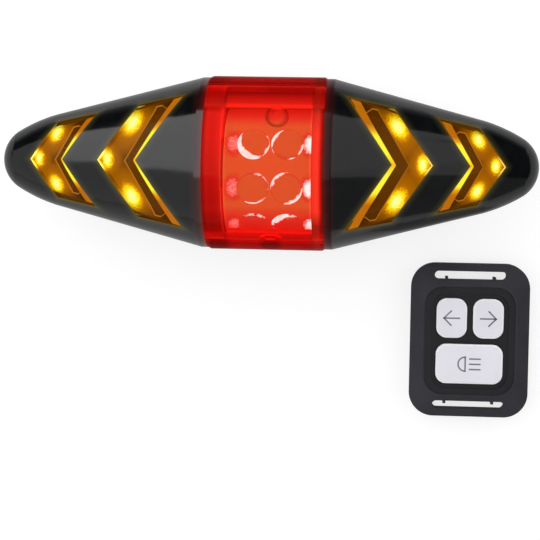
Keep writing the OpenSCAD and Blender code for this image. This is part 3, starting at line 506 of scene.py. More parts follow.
def red_glow(tree, right, above):
    """Light of the red lens: bright at its sides and over the rims that carry it, dim on its button."""
    # The whole glow is painted, with painted shade at the corners of the panel and on the button
    side = add(tree, "ShaderNodeMapRange", {"Value": right, 1: -LENS_HALF, 2: LENS_HALF})
    rims = add(tree, "ShaderNodeValToRGB", {"Fac": side}, [
        (0.0, "#800a06"), (0.02, "#960c08"), (0.037, "#bc1410"), (0.06, "#b00c0a"), (0.1, "#b80e0c"),
        (0.13, "#c01410"), (0.165, "#dc1e16"), (0.185, "#90100a"), (0.2, "#000000"), (0.89, "#000000"),
        (0.915, "#ea3c2a"), (0.955, "#fc4430"), (0.97, "#f43c2a"), (0.985, "#b4180e"), (1.0, "#580404")])
    high = add(tree, "ShaderNodeMapRange", {"Value": above, 1: -LENS_REACH, 2: LENS_REACH})
    ends = add(tree, "ShaderNodeValToRGB", {"Fac": high}, [
        (0.0, "#840606"), (0.05, "#980808"), (0.075, "#a40a08"), (0.1, "#c41410"), (0.12, "#000000"),
        (0.795, "#000000"), (0.808, "#ff2a1c"), (0.818, "#ff2a1c"), (0.83, "#e02018"), (0.85, "#d01a12"),
        (0.885, "#a00e0c"), (0.91, "#800806"), (0.95, "#7c0806"), (0.96, "#940a08"), (1.0, "#880808")])
    # Painted shade at the corners of the panel
    corner = add(tree, "ShaderNodeValToRGB", {"Fac": side}, [
        (0.0, "#b0b0b0"), (0.165, "#b0b0b0"), (0.19, "#ffffff"), (0.89, "#ffffff"), (0.915, "#b0b0b0"),
        (1.0, "#b0b0b0")])
    ends_with_painted_corner_shade = add(tree, "ShaderNodeVectorMath", {0: ends, 1: corner}, operation="MULTIPLY")
    off_axis = add(tree, "ShaderNodeMath", {0: above}, operation="ABSOLUTE")
    middle = add(tree, "ShaderNodeMapRange", {"Value": off_axis, 1: 17.0, 2: 13.0, 3: 0.3, 4: 1.0})
    by_side = add(tree, "ShaderNodeMapRange", {
        "Value": right, 1: -1.0, 2: 1.0,
        3: add(tree, "ShaderNodeMapRange", {"Value": above, 1: -10.0, 2: 7.0, 3: 0.7, 4: 1.2}),
        4: add(tree, "ShaderNodeMapRange", {"Value": above, 1: 8.0, 2: 15.0, 3: 1.0, 4: 0.5})})
    fade = add(tree, "ShaderNodeMath", {0: middle, 1: by_side}, operation="MULTIPLY")
    faded = add(tree, "ShaderNodeVectorMath", {0: rims, "Scale": fade}, operation="SCALE")
    glow = add(tree, "ShaderNodeMix", {0: 1.0, 6: faded, 7: ends_with_painted_corner_shade}, data_type="RGBA", blend_type="LIGHTEN")
    # Painted shade on the button of the lens
    beside = spot_distance(tree, right, above, LENS_BUTTON, LENS_BUTTON_SIZE)
    painted_button_shade = add(tree, "ShaderNodeMapRange", {"Value": beside, 1: 0.9, 2: 1.1, 3: 0.45, 4: 1.0})
    return add(tree, "ShaderNodeVectorMath", {0: glow.outputs[2], "Scale": painted_button_shade}, operation="SCALE")


def clear_red():
    # Clear red acrylic, moulded: lit from inside, it glows at its sides and over the rims that carry it. The
    # glow is painted.
    made, tree, surface, place = finish("clear_red_acrylic")
    haze = add(tree, "ShaderNodeTexNoise", {"Vector": place, "Scale": per_mm(2.0), "Detail": 4.0})
    right, above, _ = lamp_place(tree, place)
    fill(tree, surface, {
        "Transmission Weight": 1.0,
        "IOR": 1.03,
        "Specular IOR Level": 0.1,
        "Base Color": red_tint(tree, right, above, haze),
        "Roughness": add(tree, "ShaderNodeMapRange", over_noise(haze, 0.01, 0.03)),
        "Emission Color": red_glow(tree, right, above),
        "Emission Strength": LENS_LIGHT,
    })
    return made


def painted_panel_light(tree, place):
    """Painted light of the red panel from its lower to its upper end: orange red, plain red at the ends."""
    apart = add(tree, "ShaderNodeSeparateXYZ", {0: place})
    up = add(tree, "ShaderNodeMath", {0: apart.outputs["Y"], 1: 1 / MM}, operation="MULTIPLY")
    high = add(tree, "ShaderNodeMapRange", {"Value": up, 1: PANEL_ENDS[0], 2: PANEL_ENDS[1]})
    return add(tree, "ShaderNodeValToRGB", {"Fac": high}, [
        (0.0, "#d2463c"), (0.1, "#d44a40"), (0.18, "#d47450"), (0.22, "#d49058"), (0.82, "#d49058"),
        (0.85, "#d47c50"), (0.88, "#d45a48"), (0.91, "#d04438"), (0.94, "#cc382c"), (0.97, "#c43024")])


def side_glow(tree, place):
    """The red panel with the lights at its sides: white at the right, pink at the left, red round them."""
    apart = add(tree, "ShaderNodeSeparateXYZ", {0: place})
    right = add(tree, "ShaderNodeMath", {
        0: apart.outputs["X"], 1: 1 / MM, 2: -LIGHT_SHIFT - SIDE_LIGHT_SHIFT}, operation="MULTIPLY_ADD")
    above = add(tree, "ShaderNodeMath", {0: apart.outputs["Y"], 1: -(LAMP_Y - PANEL_DROP) * MM},
                operation="ADD")
    deep = add(tree, "ShaderNodeMath", {0: apart.outputs["Z"], 1: -LAMP_Z * MM}, operation="ADD")
    turn = add(tree, "ShaderNodeMath", {0: above, 1: deep}, operation="ARCTAN2")
    arc = add(tree, "ShaderNodeMath", {0: turn, 1: PANEL_R, 2: -math.radians(BEAD_ANGLES[0]) * PANEL_R},
              operation="MULTIPLY_ADD")
    row = add(tree, "ShaderNodeMath", {0: arc, 1: math.radians(BEAD_STEP) * PANEL_R / 2},
              operation="PINGPONG")
    below = furthest(tree, arc, row)
    aside = add(tree, "ShaderNodeMath", {0: right}, operation="ABSOLUTE")
    away = spot_distance(tree, below, aside, (0.0, SIDE_LIGHT_X), SIDE_CORE)
    mottle = add(tree, "ShaderNodeTexNoise", {"Vector": place, "Scale": per_mm(0.9), "Detail": 5.0})
    fuzzy = add(tree, "ShaderNodeMath", {0: mottle, 1: 1.2, 2: away}, operation="MULTIPLY_ADD")
    # Painted red light round the side lights
    red = add(tree, "ShaderNodeMapRange", {"Value": fuzzy, 1: 2.5, 2: 1.8, 3: 0.0, 4: 0.75})
    painted_red_round_lights = add(tree, "ShaderNodeMix", {0: red, 6: painted_panel_light(tree, place), 7: tint("#d44438")},
                   data_type="RGBA")
    bright = add(tree, "ShaderNodeMapRange", {"Value": fuzzy, 1: 1.8, 2: 1.2})
    speck = add(tree, "ShaderNodeTexNoise", {"Vector": place, "Scale": per_mm(0.45), "Detail": 4.0})
    weak = add(tree, "ShaderNodeMapRange", {"Value": speck, 1: 0.42, 2: 0.6, 3: 0.04, 4: 0.26})
    by_side = add(tree, "ShaderNodeMapRange", {"Value": right, 1: -6.0, 2: 6.0, 3: weak, 4: 1.0})
    strength = add(tree, "ShaderNodeMath", {0: bright, 1: by_side}, operation="MULTIPLY")
    return add(tree, "ShaderNodeMix", {0: strength, 6: painted_red_round_lights.outputs[2], 7: WHITE_THROUGH_RED},
               data_type="RGBA").outputs[2]


def lit_red(name, base):
    # Red polycarbonate and its light chips, lit from behind: orange red, with white patches at the right
    # side. The light on the polycarbonate is painted.
    made, tree, surface, place = finish(name)
    grain = add(tree, "ShaderNodeTexNoise", {"Vector": place, "Scale": per_mm(0.35), "Detail": 4.0})
    fill(tree, surface, {
        "Base Color": add(tree, "ShaderNodeValToRGB", {"Fac": grain}, shades(base, "#601008")),
        "Roughness": 0.4,
        "Specular IOR Level": 0.1,
        "Emission Color": side_glow(tree, place),
        "Emission Strength": 1.0,
        "Normal": add(tree, "ShaderNodeBump", {"Height": grain, "Distance": 0.02 * MM}),
    })
    return made


def clear_bead():
    # Clear acrylic bead over a red light, its light painted on: orange inside, darker at its rim, with a
    # painted white crescent of light along its rim
    made, tree, surface, place = finish("clear_bead_acrylic")
    streak = add(tree, "ShaderNodeTexNoise", {"Vector": place, "Scale": per_mm(1.6), "Detail": 2.0})
    crescents = []
    for name in ("glint", "second_glint"):
        mark = add(tree, "ShaderNodeUVMap", uv_map=name)
        away = add(tree, "ShaderNodeVectorMath", {0: mark}, operation="LENGTH").outputs["Value"]
        uneven = add(tree, "ShaderNodeMath", {0: streak, 1: 0.5, 2: away}, operation="MULTIPLY_ADD")
        crescents.append(add(tree, "ShaderNodeMapRange", {"Value": uneven, 1: 1.34, 2: 1.42}))
    outer = add(tree, "ShaderNodeVectorMath", {0: add(tree, "ShaderNodeUVMap", uv_map="round")},
                operation="LENGTH").outputs["Value"]
    # Painted shade: a darker line round the rim
    rim = add(tree, "ShaderNodeMapRange", {"Value": outer, 1: 0.88, 2: 0.98, 3: 0.0, 4: 0.5})
    rimmed = add(tree, "ShaderNodeMix", {0: rim, 6: painted_panel_light(tree, place), 7: tint("#c84c3c")},
                 data_type="RGBA")
    # Painted glints, pinker in patches
    painted_glint_pink = add(tree, "ShaderNodeMapRange", {"Value": streak, 1: 0.4, 2: 0.65, 3: 0.0, 4: 0.35})
    painted_glint_colour = add(tree, "ShaderNodeMix", {0: painted_glint_pink, 6: WHITE_THROUGH_RED, 7: tint("#ffb0a0")}, data_type="RGBA")
    bright = add(tree, "ShaderNodeMix", {
        0: furthest(tree, *crescents), 6: rimmed.outputs[2], 7: painted_glint_colour.outputs[2]}, data_type="RGBA")
    fill(tree, surface, {
        "Base Color": tint("#401008"),
        "Transmission Weight": 0.2,
        "IOR": 1.3,
        "Roughness": 0.15,
        "Specular IOR Level": 0.2,
        "Emission Color": bright.outputs[2],
        "Emission Strength": 1.0,
    })
    return made


# Finishes of the inside, the cradle and the remote

def circuit_board():
    # Glass-epoxy board under green solder mask: fine tracks show as paler lines
    made, tree, surface, place = finish("green_circuit_board")
    tracks = add(tree, "ShaderNodeTexBrick", {
        "Vector": place, "Scale": 1.0,
        "Mortar Size": 0.12 * MM, "Brick Width": 4.2 * MM, "Row Height": 1.1 * MM,
        "Color1": tint("#1a4a32"), "Color2": tint("#1e5238"), "Mortar": tint("#3c8058")})
    fill(tree, surface, {
        "Base Color": tracks,
        "Roughness": 0.35,
        "Normal": add(tree, "ShaderNodeBump", {"Height": tracks.outputs["Fac"], "Distance": 0.03 * MM}),
    })
    return made


def lit_board():
    # White solder mask round the lights of the arrows: close to them their light is painted on it
    made, tree, surface, place = finish("white_signal_board")
    grain = add(tree, "ShaderNodeTexNoise", {"Vector": place, "Scale": per_mm(0.8), "Detail": 3.0})
    close = add(tree, "ShaderNodeMapRange", {
        "Value": glow_distance(tree, place, INNER, OUTER), 1: 2.2, 2: 1.2})
    fill(tree, surface, {
        "Base Color": add(tree, "ShaderNodeValToRGB", {"Fac": grain}, shades("#3a2a10", "#463414")),
        "Roughness": 0.4,
        "Emission Color": add(tree, "ShaderNodeValToRGB", {"Fac": close}, [
            (0.0, "#000000"), (1.0, "#b8d890")]),
        "Emission Strength": AMBER_LIGHT,
    })
    return made


def shrink_film():
    # Shrink film on a steel cell: satin blue with fine cross wrinkles
    made, tree, surface, place = finish("blue_shrink_film")
    stretched = add(tree, "ShaderNodeMapping", {"Vector": place, "Scale": (4.0, 1.0, 1.0)})
    wrinkles = add(tree, "ShaderNodeTexNoise", {"Vector": stretched, "Scale": per_mm(2.5), "Detail": 3.0})
    fill(tree, surface, {
        "Base Color": add(tree, "ShaderNodeValToRGB", {"Fac": wrinkles}, shades("#2a6484", "#347496")),
        "Roughness": 0.3,
        "Normal": add(tree, "ShaderNodeBump", {"Height": wrinkles, "Distance": 0.05 * MM}),
    })
    return made


def etched_charcoal_front():
    # ABS with a fine etched texture: charcoal and nearly matt, with a darker band of painted shade round the
    # bed of the keys
    made, tree, surface, place = finish("etched_charcoal_front")
    grit = add(tree, "ShaderNodeTexNoise", {"Vector": place, "Scale": per_mm(0.3), "Detail": 5.0})
    drift = add(tree, "ShaderNodeTexNoise", {"Vector": place, "Scale": per_mm(9.0), "Detail": 3.0})
    middle = add(tree, "ShaderNodeVectorMath", {0: place, 1: (-REMOTE_X * MM, -REMOTE_Y * MM, 0.0)},
                 operation="ADD")
    folded = add(tree, "ShaderNodeVectorMath", {0: middle}, operation="ABSOLUTE")
    width, height, corner = BED
    past_corner = add(tree, "ShaderNodeVectorMath", {
        0: folded, 1: ((corner - width / 2) * MM, (corner - height / 2) * MM, -1.0)}, operation="ADD")
    outer = add(tree, "ShaderNodeVectorMath", {0: past_corner, 1: (0.0, 0.0, 0.0)}, operation="MAXIMUM")
    away = add(tree, "ShaderNodeVectorMath", {0: outer}, operation="LENGTH").outputs["Value"]
    edge = add(tree, "ShaderNodeMath", {0: away, 1: 1 / MM, 2: -corner}, operation="MULTIPLY_ADD")
    band = add(tree, "ShaderNodeMapRange", {"Value": edge, 1: -2.5, 2: 0.5})
    # Painted shade of a groove round the bed, with a paler painted highlight along its inner edge
    tones_and_painted_groove_shade = add(tree, "ShaderNodeValToRGB", {"Fac": band}, [
        (0.0, "#1c1b1f"), (0.16, "#1c1b1f"), (0.2, "#2d2c31"), (0.24, "#1f1e22"), (0.8, "#1f1e22"),
        (0.86, "#35343a"), (1.0, "#35343a")])
    worn = add(tree, "ShaderNodeMix", {
        0: 1.0, 6: tones_and_painted_groove_shade,
        7: add(tree, "ShaderNodeValToRGB", {"Fac": drift}, shades("#e8e8e8", "#ffffff"))},
        data_type="RGBA", blend_type="MULTIPLY")
    rounded = add(tree, "ShaderNodeBevel", {"Radius": 0.35 * MM}, samples=4)
    fill(tree, surface, {
        "IOR": ABS_IOR,
        "Specular IOR Level": 0.2,
        "Base Color": worn.outputs[2],
        "Roughness": add(tree, "ShaderNodeMapRange", over_noise(grit, 0.48, 0.58)),
        "Normal": add(tree, "ShaderNodeBump", {"Height": grit, "Distance": 0.012 * MM, "Normal": rounded}),
    })
    return made


def lit_satin_abs():
    # ABS from a spark-eroded tool: black with an even fine grit. Inside, the light of the red lights is
    # painted on its floor, less towards the upper edge.
    made = moulded("lit_satin_black_abs", *SATIN_ABS)
    tree = made.node_tree
    place = add(tree, "ShaderNodeTexCoord").outputs["Object"]
    along, up, height = folded_place(tree, place)
    _, above, _ = lamp_place(tree, place)
    lit = add(tree, "ShaderNodeMapRange", {
        "Value": above, 1: PAINTED_FLOOR_FADE[0], 2: PAINTED_FLOOR_FADE[1], 3: 1.0, 4: 0.0})
    for edge, start, end in ((along, LENS_HALF + 0.5, LENS_HALF - 0.5), (up, REAR_INSIDE + 0.2, REAR_INSIDE),
                             (height, REAR_FLOOR - 0.6, REAR_FLOOR - 0.2)):
        within = add(tree, "ShaderNodeMapRange", {"Value": edge, 1: start, 2: end})
        lit = add(tree, "ShaderNodeMath", {0: lit, 1: within}, operation="MULTIPLY")
    fill(tree, tree.nodes["Principled BSDF"], {"Emission Color": tint("#8c140c"), "Emission Strength": lit})
    return made


def soft_key_abs():
    # Silicone-coated ABS, moulded: pale grey with a soft even sheen, paler over an edge: a painted highlight
    made = moulded("pale_grey_soft_abs", "#dcdae2", "#e2e0e8", (0.42, 0.5), 0.3, 0.004)
    tree = made.node_tree
    surface = tree.nodes["Principled BSDF"]
    coat = surface.inputs["Base Color"].links[0].from_socket
    facing = add(tree, "ShaderNodeTexCoord").outputs["Normal"]
    upward = add(tree, "ShaderNodeSeparateXYZ", {0: facing}).outputs["Z"]
    edge = add(tree, "ShaderNodeMapRange", {"Value": upward, 1: 0.985, 2: 0.85})
    painted_edge_highlight = add(tree, "ShaderNodeMix", {0: edge, 6: coat, 7: tint("#ffffff")}, data_type="RGBA")
    fill(tree, surface, {"Base Color": painted_edge_highlight.outputs[2]})
    return made


FINISHES = {
    "black_gloss": gloss_black_abs(),
    # ABS from a spark-eroded tool: black with an even fine grit that spreads the light
    "black_satin": moulded("satin_black_abs", *SATIN_ABS),
    # Silicone rubber, moulded: dark grey and dull
    "seal_rubber": moulded("grey_silicone", "#3a3c3e", "#44464a", (0.55, 0.7), 0.5, 0.01, 1.43),
    # Zinc-plated steel, cold-headed: cool grey and fairly bright, with fine marks
    "screw_steel": metal("zinc_plated_steel", "#a8acb2", "#c4c8cc", (0.25, 0.4), 0.5),
    "red_clear": clear_red(),
    "red_panel": lit_red("lit_red_polycarbonate", "#581008"),
    "red_bead": clear_bead(),
    "led_red": lit_red("lit_red_chip", "#681810"),
    "led_amber": lit_amber_chip(),
    "circuit_board": circuit_board(),
    # Aluminium-backed light strip under white solder mask: clean white with a faint grain
    "strip_board": moulded("white_strip_board", "#dcd8ce", "#e8e4dc", (0.3, 0.42), 0.6, 0.01),
    "cell_wrap": shrink_film(),
    # Nickel-plated spring strip, stamped: warm grey and bright
    "contact_metal": metal("nickel_plated_spring", "#b4b0a4", "#ccc8bc", (0.2, 0.35), 0.4),
    # Stainless steel, deep drawn: cool and bright, the shiniest of the metals
    "socket_metal": metal("drawn_stainless_shell", "#b0b4b8", "#c8ccd0", (0.18, 0.32), 0.5),
    # Glass-filled nylon: dark grey with short pale fibres
    "switch_plastic": moulded("glass_filled_nylon", "#34363a", "#404246", (0.45, 0.6), 0.25, 0.02),
    # Natural rubber, moulded: black, dull, with a soft open grain
    "black_rubber": moulded("black_rubber", "#1c1d1f", "#26272a", (0.6, 0.75), 0.6, 0.03, 1.5),
    # ABS with a fine etched texture: charcoal, nearly matt
    "remote_plastic": moulded("etched_charcoal_abs", "#262529", "#2c2b2f", (0.48, 0.58), 0.3, 0.012),
    "key_plastic": soft_key_abs(),
    # Stainless steel can of a coin cell, brushed: pale grey with a fine even grain
    "coin_steel": metal("brushed_coin_steel", "#b8babd", "#d0d2d5", (0.2, 0.34), 0.3),
}
# Pad-printed ink: mid grey, a little uneven where the pad lifted
KEY_INK = moulded("grey_pad_ink", "#67666c", "#747379", (0.5, 0.65), 0.5, 0.004)

SIGNAL_BOARD = lit_board()
OWN_FINISH = {"rear_housing": lit_satin_abs(), "remote_front": etched_charcoal_front(),
              "signal_board_left": SIGNAL_BOARD, "signal_board_right": SIGNAL_BOARD}
for arrow, label in ((INNER, "inner"), (OUTER, "outer")):
    for piece, made in (("diffuser", frosted_amber(arrow, label)),
                        ("light_box", amber_reflector(arrow, label)),
                        ("amber_lens", clear_amber(arrow, label))):
        for wing in ("left", "right"):
            OWN_FINISH["{}_{}_{}".format(piece, wing, label)] = made

for name, solid in frame["nodes"].items():
    for held in solid.material_slots:
        held.material = OWN_FINISH.get(name) or FINISHES[held.material.name]
    # The remote stands by itself, so the gloss of the lamp shows none of it
    solid.visible_glossy = solid.parent == frame["bodies"]["lamp"]


# New pieces

def new_piece(name, shape, material, body):
    """Makes an object from a shape in millimetres, rides it on a body and gives it its finish."""
    bmesh.ops.transform(shape, matrix=Matrix.Scale(MM, 4), verts=shape.verts)
    bmesh.ops.recalc_face_normals(shape, faces=shape.faces)
    data = bpy.data.meshes.new(name)
    shape.to_mesh(data)
    shape.free()
    piece = bpy.data.objects.new(name, data)
    scene.collection.objects.link(piece)
    data.materials.append(material)
    for face in data.polygons:
        face.use_smooth = True
    data.set_sharp_from_angle(angle=SHARP_ANGLE)
    piece.visible_glossy = body == "lamp"
    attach(piece, body)
    return piece


def button(name, width, x, y):
    """A push button: a block with round corners, a softened top edge and a slightly crowned face."""
    shape = bmesh.new()
    bmesh.ops.create_cube(shape, size=1.0)
    bmesh.ops.scale(shape, vec=(width, KEY_H, KEY_TOP - KEY_CROWN - KEY_BASE), verts=shape.verts)
    upright = [e for e in shape.edges if abs(e.verts[0].co.z - e.verts[1].co.z) > 1]
    bmesh.ops.bevel(shape, geom=upright, offset=KEY_CORNER, affect="EDGES", profile=0.5, material=-1,
                    segments=KEY_CORNER_FACETS)
    top = max(shape.faces, key=lambda f: f.calc_center_median().z)
    bmesh.ops.bevel(shape, geom=list(top.edges), offset=KEY_EDGE, affect="EDGES", profile=0.5, material=-1,
                    segments=KEY_EDGE_FACETS)
    top = max(shape.faces, key=lambda f: f.calc_center_median().z)
    for share in (0.4, 0.3, 0.3):
        bmesh.ops.inset_region(shape, faces=[top], thickness=KEY_CROWN_STEP)
        bmesh.ops.translate(shape, vec=(0, 0, share * KEY_CROWN), verts=top.verts)
    middle = (KEY_TOP - KEY_CROWN + KEY_BASE) / 2
    bmesh.ops.translate(shape, vec=(REMOTE_X + x, REMOTE_Y + y, middle), verts=shape.verts)
    piece = new_piece(name + "_key", shape, FINISHES["key_plastic"], name + "_button")
    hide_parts(name + "_button")


def stroke(shape, start, end):
    """A printed line from one point to another."""
    start, end = Vector(start), Vector(end)
    way = end - start
    made = bmesh.ops.create_cube(shape, size=1.0)["verts"]
    bmesh.ops.scale(shape, vec=(way.length + PRINT_W, PRINT_W, PRINT_T), verts=made)
    bmesh.ops.rotate(shape, matrix=Matrix.Rotation(math.atan2(way.y, way.x), 3, "Z"), verts=made)
    bmesh.ops.translate(shape, vec=((start + end) / 2).to_3d(), verts=made)


def printed(name, shape, x, y):
    """Sets a printed mark on the face of a key."""
    bmesh.ops.translate(shape, vec=(REMOTE_X + x, REMOTE_Y + y, KEY_TOP + PRINT_T / 2), verts=shape.verts)
    new_piece(name + "_mark", shape, KEY_INK, name + "_button")


def arrow_mark(name, way, x, y):
    """A thin arrow that points left or right."""
    shape = bmesh.new()
    stroke(shape, (-ARROW_HALF * way, 0), (ARROW_HALF * way, 0))
    for side in (1, -1):
        stroke(shape, (ARROW_HALF * way, 0), (ARROW_BARB[0] * way, ARROW_BARB[1] * side))
    printed(name, shape, x, y)


def lamp_mark(name, x, y):
    """A round lamp with three beams, the plain sign for a light."""
    shape = bmesh.new()
    bar = bmesh.ops.create_cube(shape, size=1.0)["verts"]
    bmesh.ops.scale(shape, vec=(PRINT_W, PRINT_W, PRINT_T), verts=bar)
    bmesh.ops.translate(shape, vec=(0, SIGN_R, 0), verts=bar)
    cut = [f for f in shape.faces if f.calc_center_median().x < -0.9 * PRINT_W / 2]
    bmesh.ops.delete(shape, geom=cut, context="FACES_ONLY")
    profile = [e for e in shape.edges if all(v.co.x < 0 for v in e.verts)]
    bmesh.ops.spin(shape, geom=profile, cent=(0, 0, 0), axis=(0, 0, 1), angle=math.pi, steps=SIGN_FACETS)
    stroke(shape, (0, -SIGN_R), (0, SIGN_R))
    for level in (-SIGN_BEAM_STEP, 0, SIGN_BEAM_STEP):
        stroke(shape, (SIGN_BEAM[0], level), (SIGN_BEAM[1], level))
    bmesh.ops.translate(shape, vec=(-SIGN_SHIFT, 0, 0), verts=shape.verts)
    printed(name, shape, x, y)


row_y = (KEY_H + KEY_GAP) / 2
key_x = (KEY_W + KEY_GAP) / 2
button("left", KEY_W, -key_x, row_y)
button("right", KEY_W, key_x, row_y)
button("light", 2 * KEY_W + KEY_GAP, 0, -row_y)
arrow_mark("left", -1, -key_x, row_y)
arrow_mark("right", 1, key_x, row_y)
lamp_mark("light", 0, -row_y)

# Painted glints where light crowds along a bead's rim: row and column, then two crescents, each with its
# direction in degrees, its reach inward and how far it runs along the rim
GLINTS = {(0, 0): ((215, 0.45, 1.0), (345, 0.2, 0.9)), (0, 1): ((155, 0.34, 0.75), (335, 0.16, 1.0)),
          (1, 0): ((275, 0.24, 0.85), (40, 0.1, 1.0)), (1, 1): ((308, 0.33, 0.75), (135, 0.24, 0.85)),
          (2, 0): ((88, 0.14, 0.8), (270, 0.0, 1.0)), (2, 1): ((130, 0.3, 0.95), (0, 0.0, 1.0))}


def bead_lenses():
    """Six round lenses in three rows, each with a map from its middle and two that place its crescents."""
    whole = bmesh.new()
    maps = [whole.loops.layers.uv.new(name) for name in ("round", "glint", "second_glint")]
    cap_r = (BEAD_R ** 2 + BEAD_RISE ** 2) / (2 * BEAD_RISE)
    reach = math.asin(BEAD_R / cap_r)
    for (row, column), crescents in GLINTS.items():
        known = set(whole.verts)
        foot = whole.verts.new((0, 0, PANEL_R - BEAD_SEAT))
        rim = whole.verts.new((BEAD_R, 0, PANEL_R - BEAD_SEAT))
        edge = whole.verts.new((BEAD_R, 0, PANEL_R))
        base = [foot, rim, edge, whole.edges.new((foot, rim)), whole.edges.new((rim, edge))]
        bmesh.ops.spin(whole, geom=[edge], cent=(0, 0, PANEL_R + BEAD_RISE - cap_r), axis=(0, -1, 0),
                       angle=reach, steps=BEAD_CROWN_FACETS)
        section = base + [g for g in whole.edges if g.is_wire and g not in base]
        section += [v for v in whole.verts if v not in known and v not in base]
        bmesh.ops.spin(whole, geom=section, cent=(0, 0, 0), axis=(0, 0, 1), angle=2 * math.pi,
                       steps=BEAD_FACETS, use_merge=True)
        bmesh.ops.remove_doubles(whole, verts=[v for v in whole.verts if v not in known], dist=0.001)
        fresh = [v for v in whole.verts if v not in known]
        for loop in {loop for v in fresh for loop in v.link_loops}:
            for layer, (way, inward, run) in zip(maps, ((0, 0.0, 1.0),) + crescents):
                turned = Matrix.Rotation(-math.radians(way), 2) @ (loop.vert.co.xy / BEAD_R)
                loop[layer].uv = turned.x + inward, turned.y * run
        place = (Matrix.Translation((LIGHT_SHIFT, LAMP_Y - PANEL_DROP, LAMP_Z))
                 @ Matrix.Rotation(-math.radians(BEAD_ANGLES[row]), 4, "X")
                 @ Matrix.Translation((BEAD_X * (2 * column - 1), 0, 0)))
        bmesh.ops.transform(whole, matrix=place, verts=fresh)
    piece = new_piece("bead_lenses", whole, FINISHES["red_bead"], "lamp")
    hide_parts("red_beads")


bead_lenses()


# Stage, light and camera, in metres

FLOOR_HALF = 3.0
SHEET_SEEN = 0.75
SHEET_MIRRORED = 0.16
CARD_FOOT = 0.023
WORLD_LIGHT = 0.58
SOFTBOX_PLACE = (0.145, 0.41)
SOFTBOX_AIM = (-0.15, 0.03)
SOFTBOX_H = 0.95


def white_sheet():
    # Plain white studio sheet: seen straight or through a lens it adds light of its own, less where mirrored
    made, tree, surface, _ = finish("white_studio_sheet")
    path = add(tree, "ShaderNodeLightPath")
    seen = furthest(tree, path.outputs["Is Camera Ray"], path.outputs["Is Transmission Ray"])
    bright = add(tree, "ShaderNodeMath", {0: seen, 1: SHEET_SEEN}, operation="MULTIPLY")
    mirrored = add(tree, "ShaderNodeMath", {0: path.outputs["Is Glossy Ray"], 1: SHEET_MIRRORED},
                   operation="MULTIPLY")
    fill(tree, surface, {
        "Base Color": (0.3, 0.3, 0.3, 1.0),
        "Roughness": 0.8,
        "Specular IOR Level": 0.0,
        "Emission Color": (1.0, 1.0, 1.0, 1.0),
        "Emission Strength": furthest(tree, bright, mirrored),
    })
    # From below the sheet is clear, so that the foot of the lamp and the back of the remote can be looked at
    below = add(tree, "ShaderNodeNewGeometry").outputs["Backfacing"]
    clear = add(tree, "ShaderNodeBsdfTransparent")
    one_sided = add(tree, "ShaderNodeMixShader", {0: below, 1: surface, 2: clear})
    fill(tree, tree.nodes["Material Output"], {"Surface": one_sided})
    return made


def studio_card(name, shade):
    # Studio card that the lamp mirrors instead of the bright sheet: pale at its foot, then dark
    made, tree, surface, place = finish(name)
    level = add(tree, "ShaderNodeSeparateXYZ", {0: place}).outputs["Z"]
    share = add(tree, "ShaderNodeMapRange", {"Value": level, 1: 0.0, 2: CARD_FOOT})
    fill(tree, surface, {
        "Base Color": (0.0, 0.0, 0.0, 1.0),
        "Roughness": 1.0,
        "Specular IOR Level": 0.0,
        "Emission Color": add(tree, "ShaderNodeValToRGB", {"Fac": share}, [
            (0.0, "#a8a8a8"), (0.4, "#707070"), (1.0, shade)]),
        "Emission Strength": 1.0,
    })
    return made


def stage_sheet(name, matrix, material):
    """A flat sheet of the studio, which is no part of the object."""
    sheet = bmesh.new()
    bmesh.ops.create_grid(sheet, x_segments=1, y_segments=1, size=1.0, matrix=matrix)
    data = bpy.data.meshes.new(name)
    sheet.to_mesh(data)
    sheet.free()
    data.materials.append(material)
    made = bpy.data.objects.new(name, data)
    scene.collection.objects.link(made)
    return made


stage_sheet("floor", Matrix.Scale(FLOOR_HALF, 4), white_sheet())
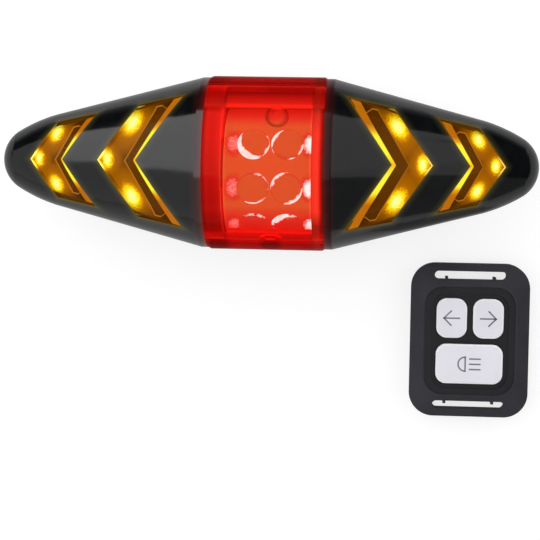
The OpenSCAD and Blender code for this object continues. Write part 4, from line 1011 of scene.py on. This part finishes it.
# Cards stand beside the lamp: a low black one along its upper side, a tall grey one along the right half of
# its lower side and a black one past its right end. Each has its middle, turn, half width, height and shade.
CARDS = {"upper_card": ((0.0, 0.088), 0.0, 0.7, 0.058, "#040404"),
         "lower_card": ((0.53, -0.12), 0.0, 0.5, 0.45, "#707070"),
         "end_card": ((0.33, 0.19), math.pi / 2, 0.31, 0.36, "#101010")}
for name, ((x, y), turn, half, height, shade) in CARDS.items():
    stand = (Matrix.Translation((x, y, height / 2)) @ Matrix.Rotation(turn, 4, "Z")
             @ Matrix.Rotation(math.pi / 2, 4, "X"))
    card = stage_sheet(name, stand @ Matrix.Diagonal((half, height / 2, 1, 1)), studio_card(name, shade))
    for sight in ("camera", "diffuse", "shadow", "transmission"):
        setattr(card, "visible_" + sight, False)

world = bpy.data.worlds.new("studio")
scene.world = world
world.use_nodes = True
fill(world.node_tree, world.node_tree.nodes["Background"], {
    "Color": (1.0, 1.0, 1.0, 1.0), "Strength": WORLD_LIGHT})


def softbox(name, radiance, x, width, mirrored=True):
    """A soft panel of a given brightness above the lamp. One that the gloss doesn't mirror only fills."""
    centre = Vector((x, *SOFTBOX_PLACE))
    target = Vector((x, *SOFTBOX_AIM))
    data = bpy.data.lights.new(name, "AREA")
    data.shape = "RECTANGLE"
    data.size = width
    data.size_y = SOFTBOX_H
    data.energy = radiance * math.pi * width * SOFTBOX_H
    made = bpy.data.objects.new(name, data)
    scene.collection.objects.link(made)
    made.location = centre
    made.rotation_euler = (target - centre).to_track_quat("-Z", "Y").to_euler()
    made.visible_camera = False
    made.visible_glossy = mirrored


softbox("left_softbox", 1.35, -0.22, 0.5)
softbox("right_softbox", 0.12, 0.185, 0.23)
softbox("fill_softbox", 1.0, 0.42, 0.7, mirrored=False)

SENSOR = 36.0
FOCAL = 119.12
CAMERA_EYE = (0.0424, 0.0178, 0.5221)
CAMERA_SIDE = math.radians(4.75)
CAMERA_RISE = math.radians(2.74)
CAMERA_ROLL = math.radians(1.07)
camera_data = bpy.data.cameras.new("camera")
camera_data.sensor_width = SENSOR
camera_data.lens = FOCAL
camera_data.clip_start = 0.01
camera_data.clip_end = 20.0
camera = bpy.data.objects.new("camera", camera_data)
scene.collection.objects.link(camera)
scene.camera = camera
camera.matrix_world = (Matrix.Translation(CAMERA_EYE) @ Matrix.Rotation(CAMERA_SIDE, 4, "Y")
                       @ Matrix.Rotation(-CAMERA_RISE, 4, "X") @ Matrix.Rotation(CAMERA_ROLL, 4, "Z"))
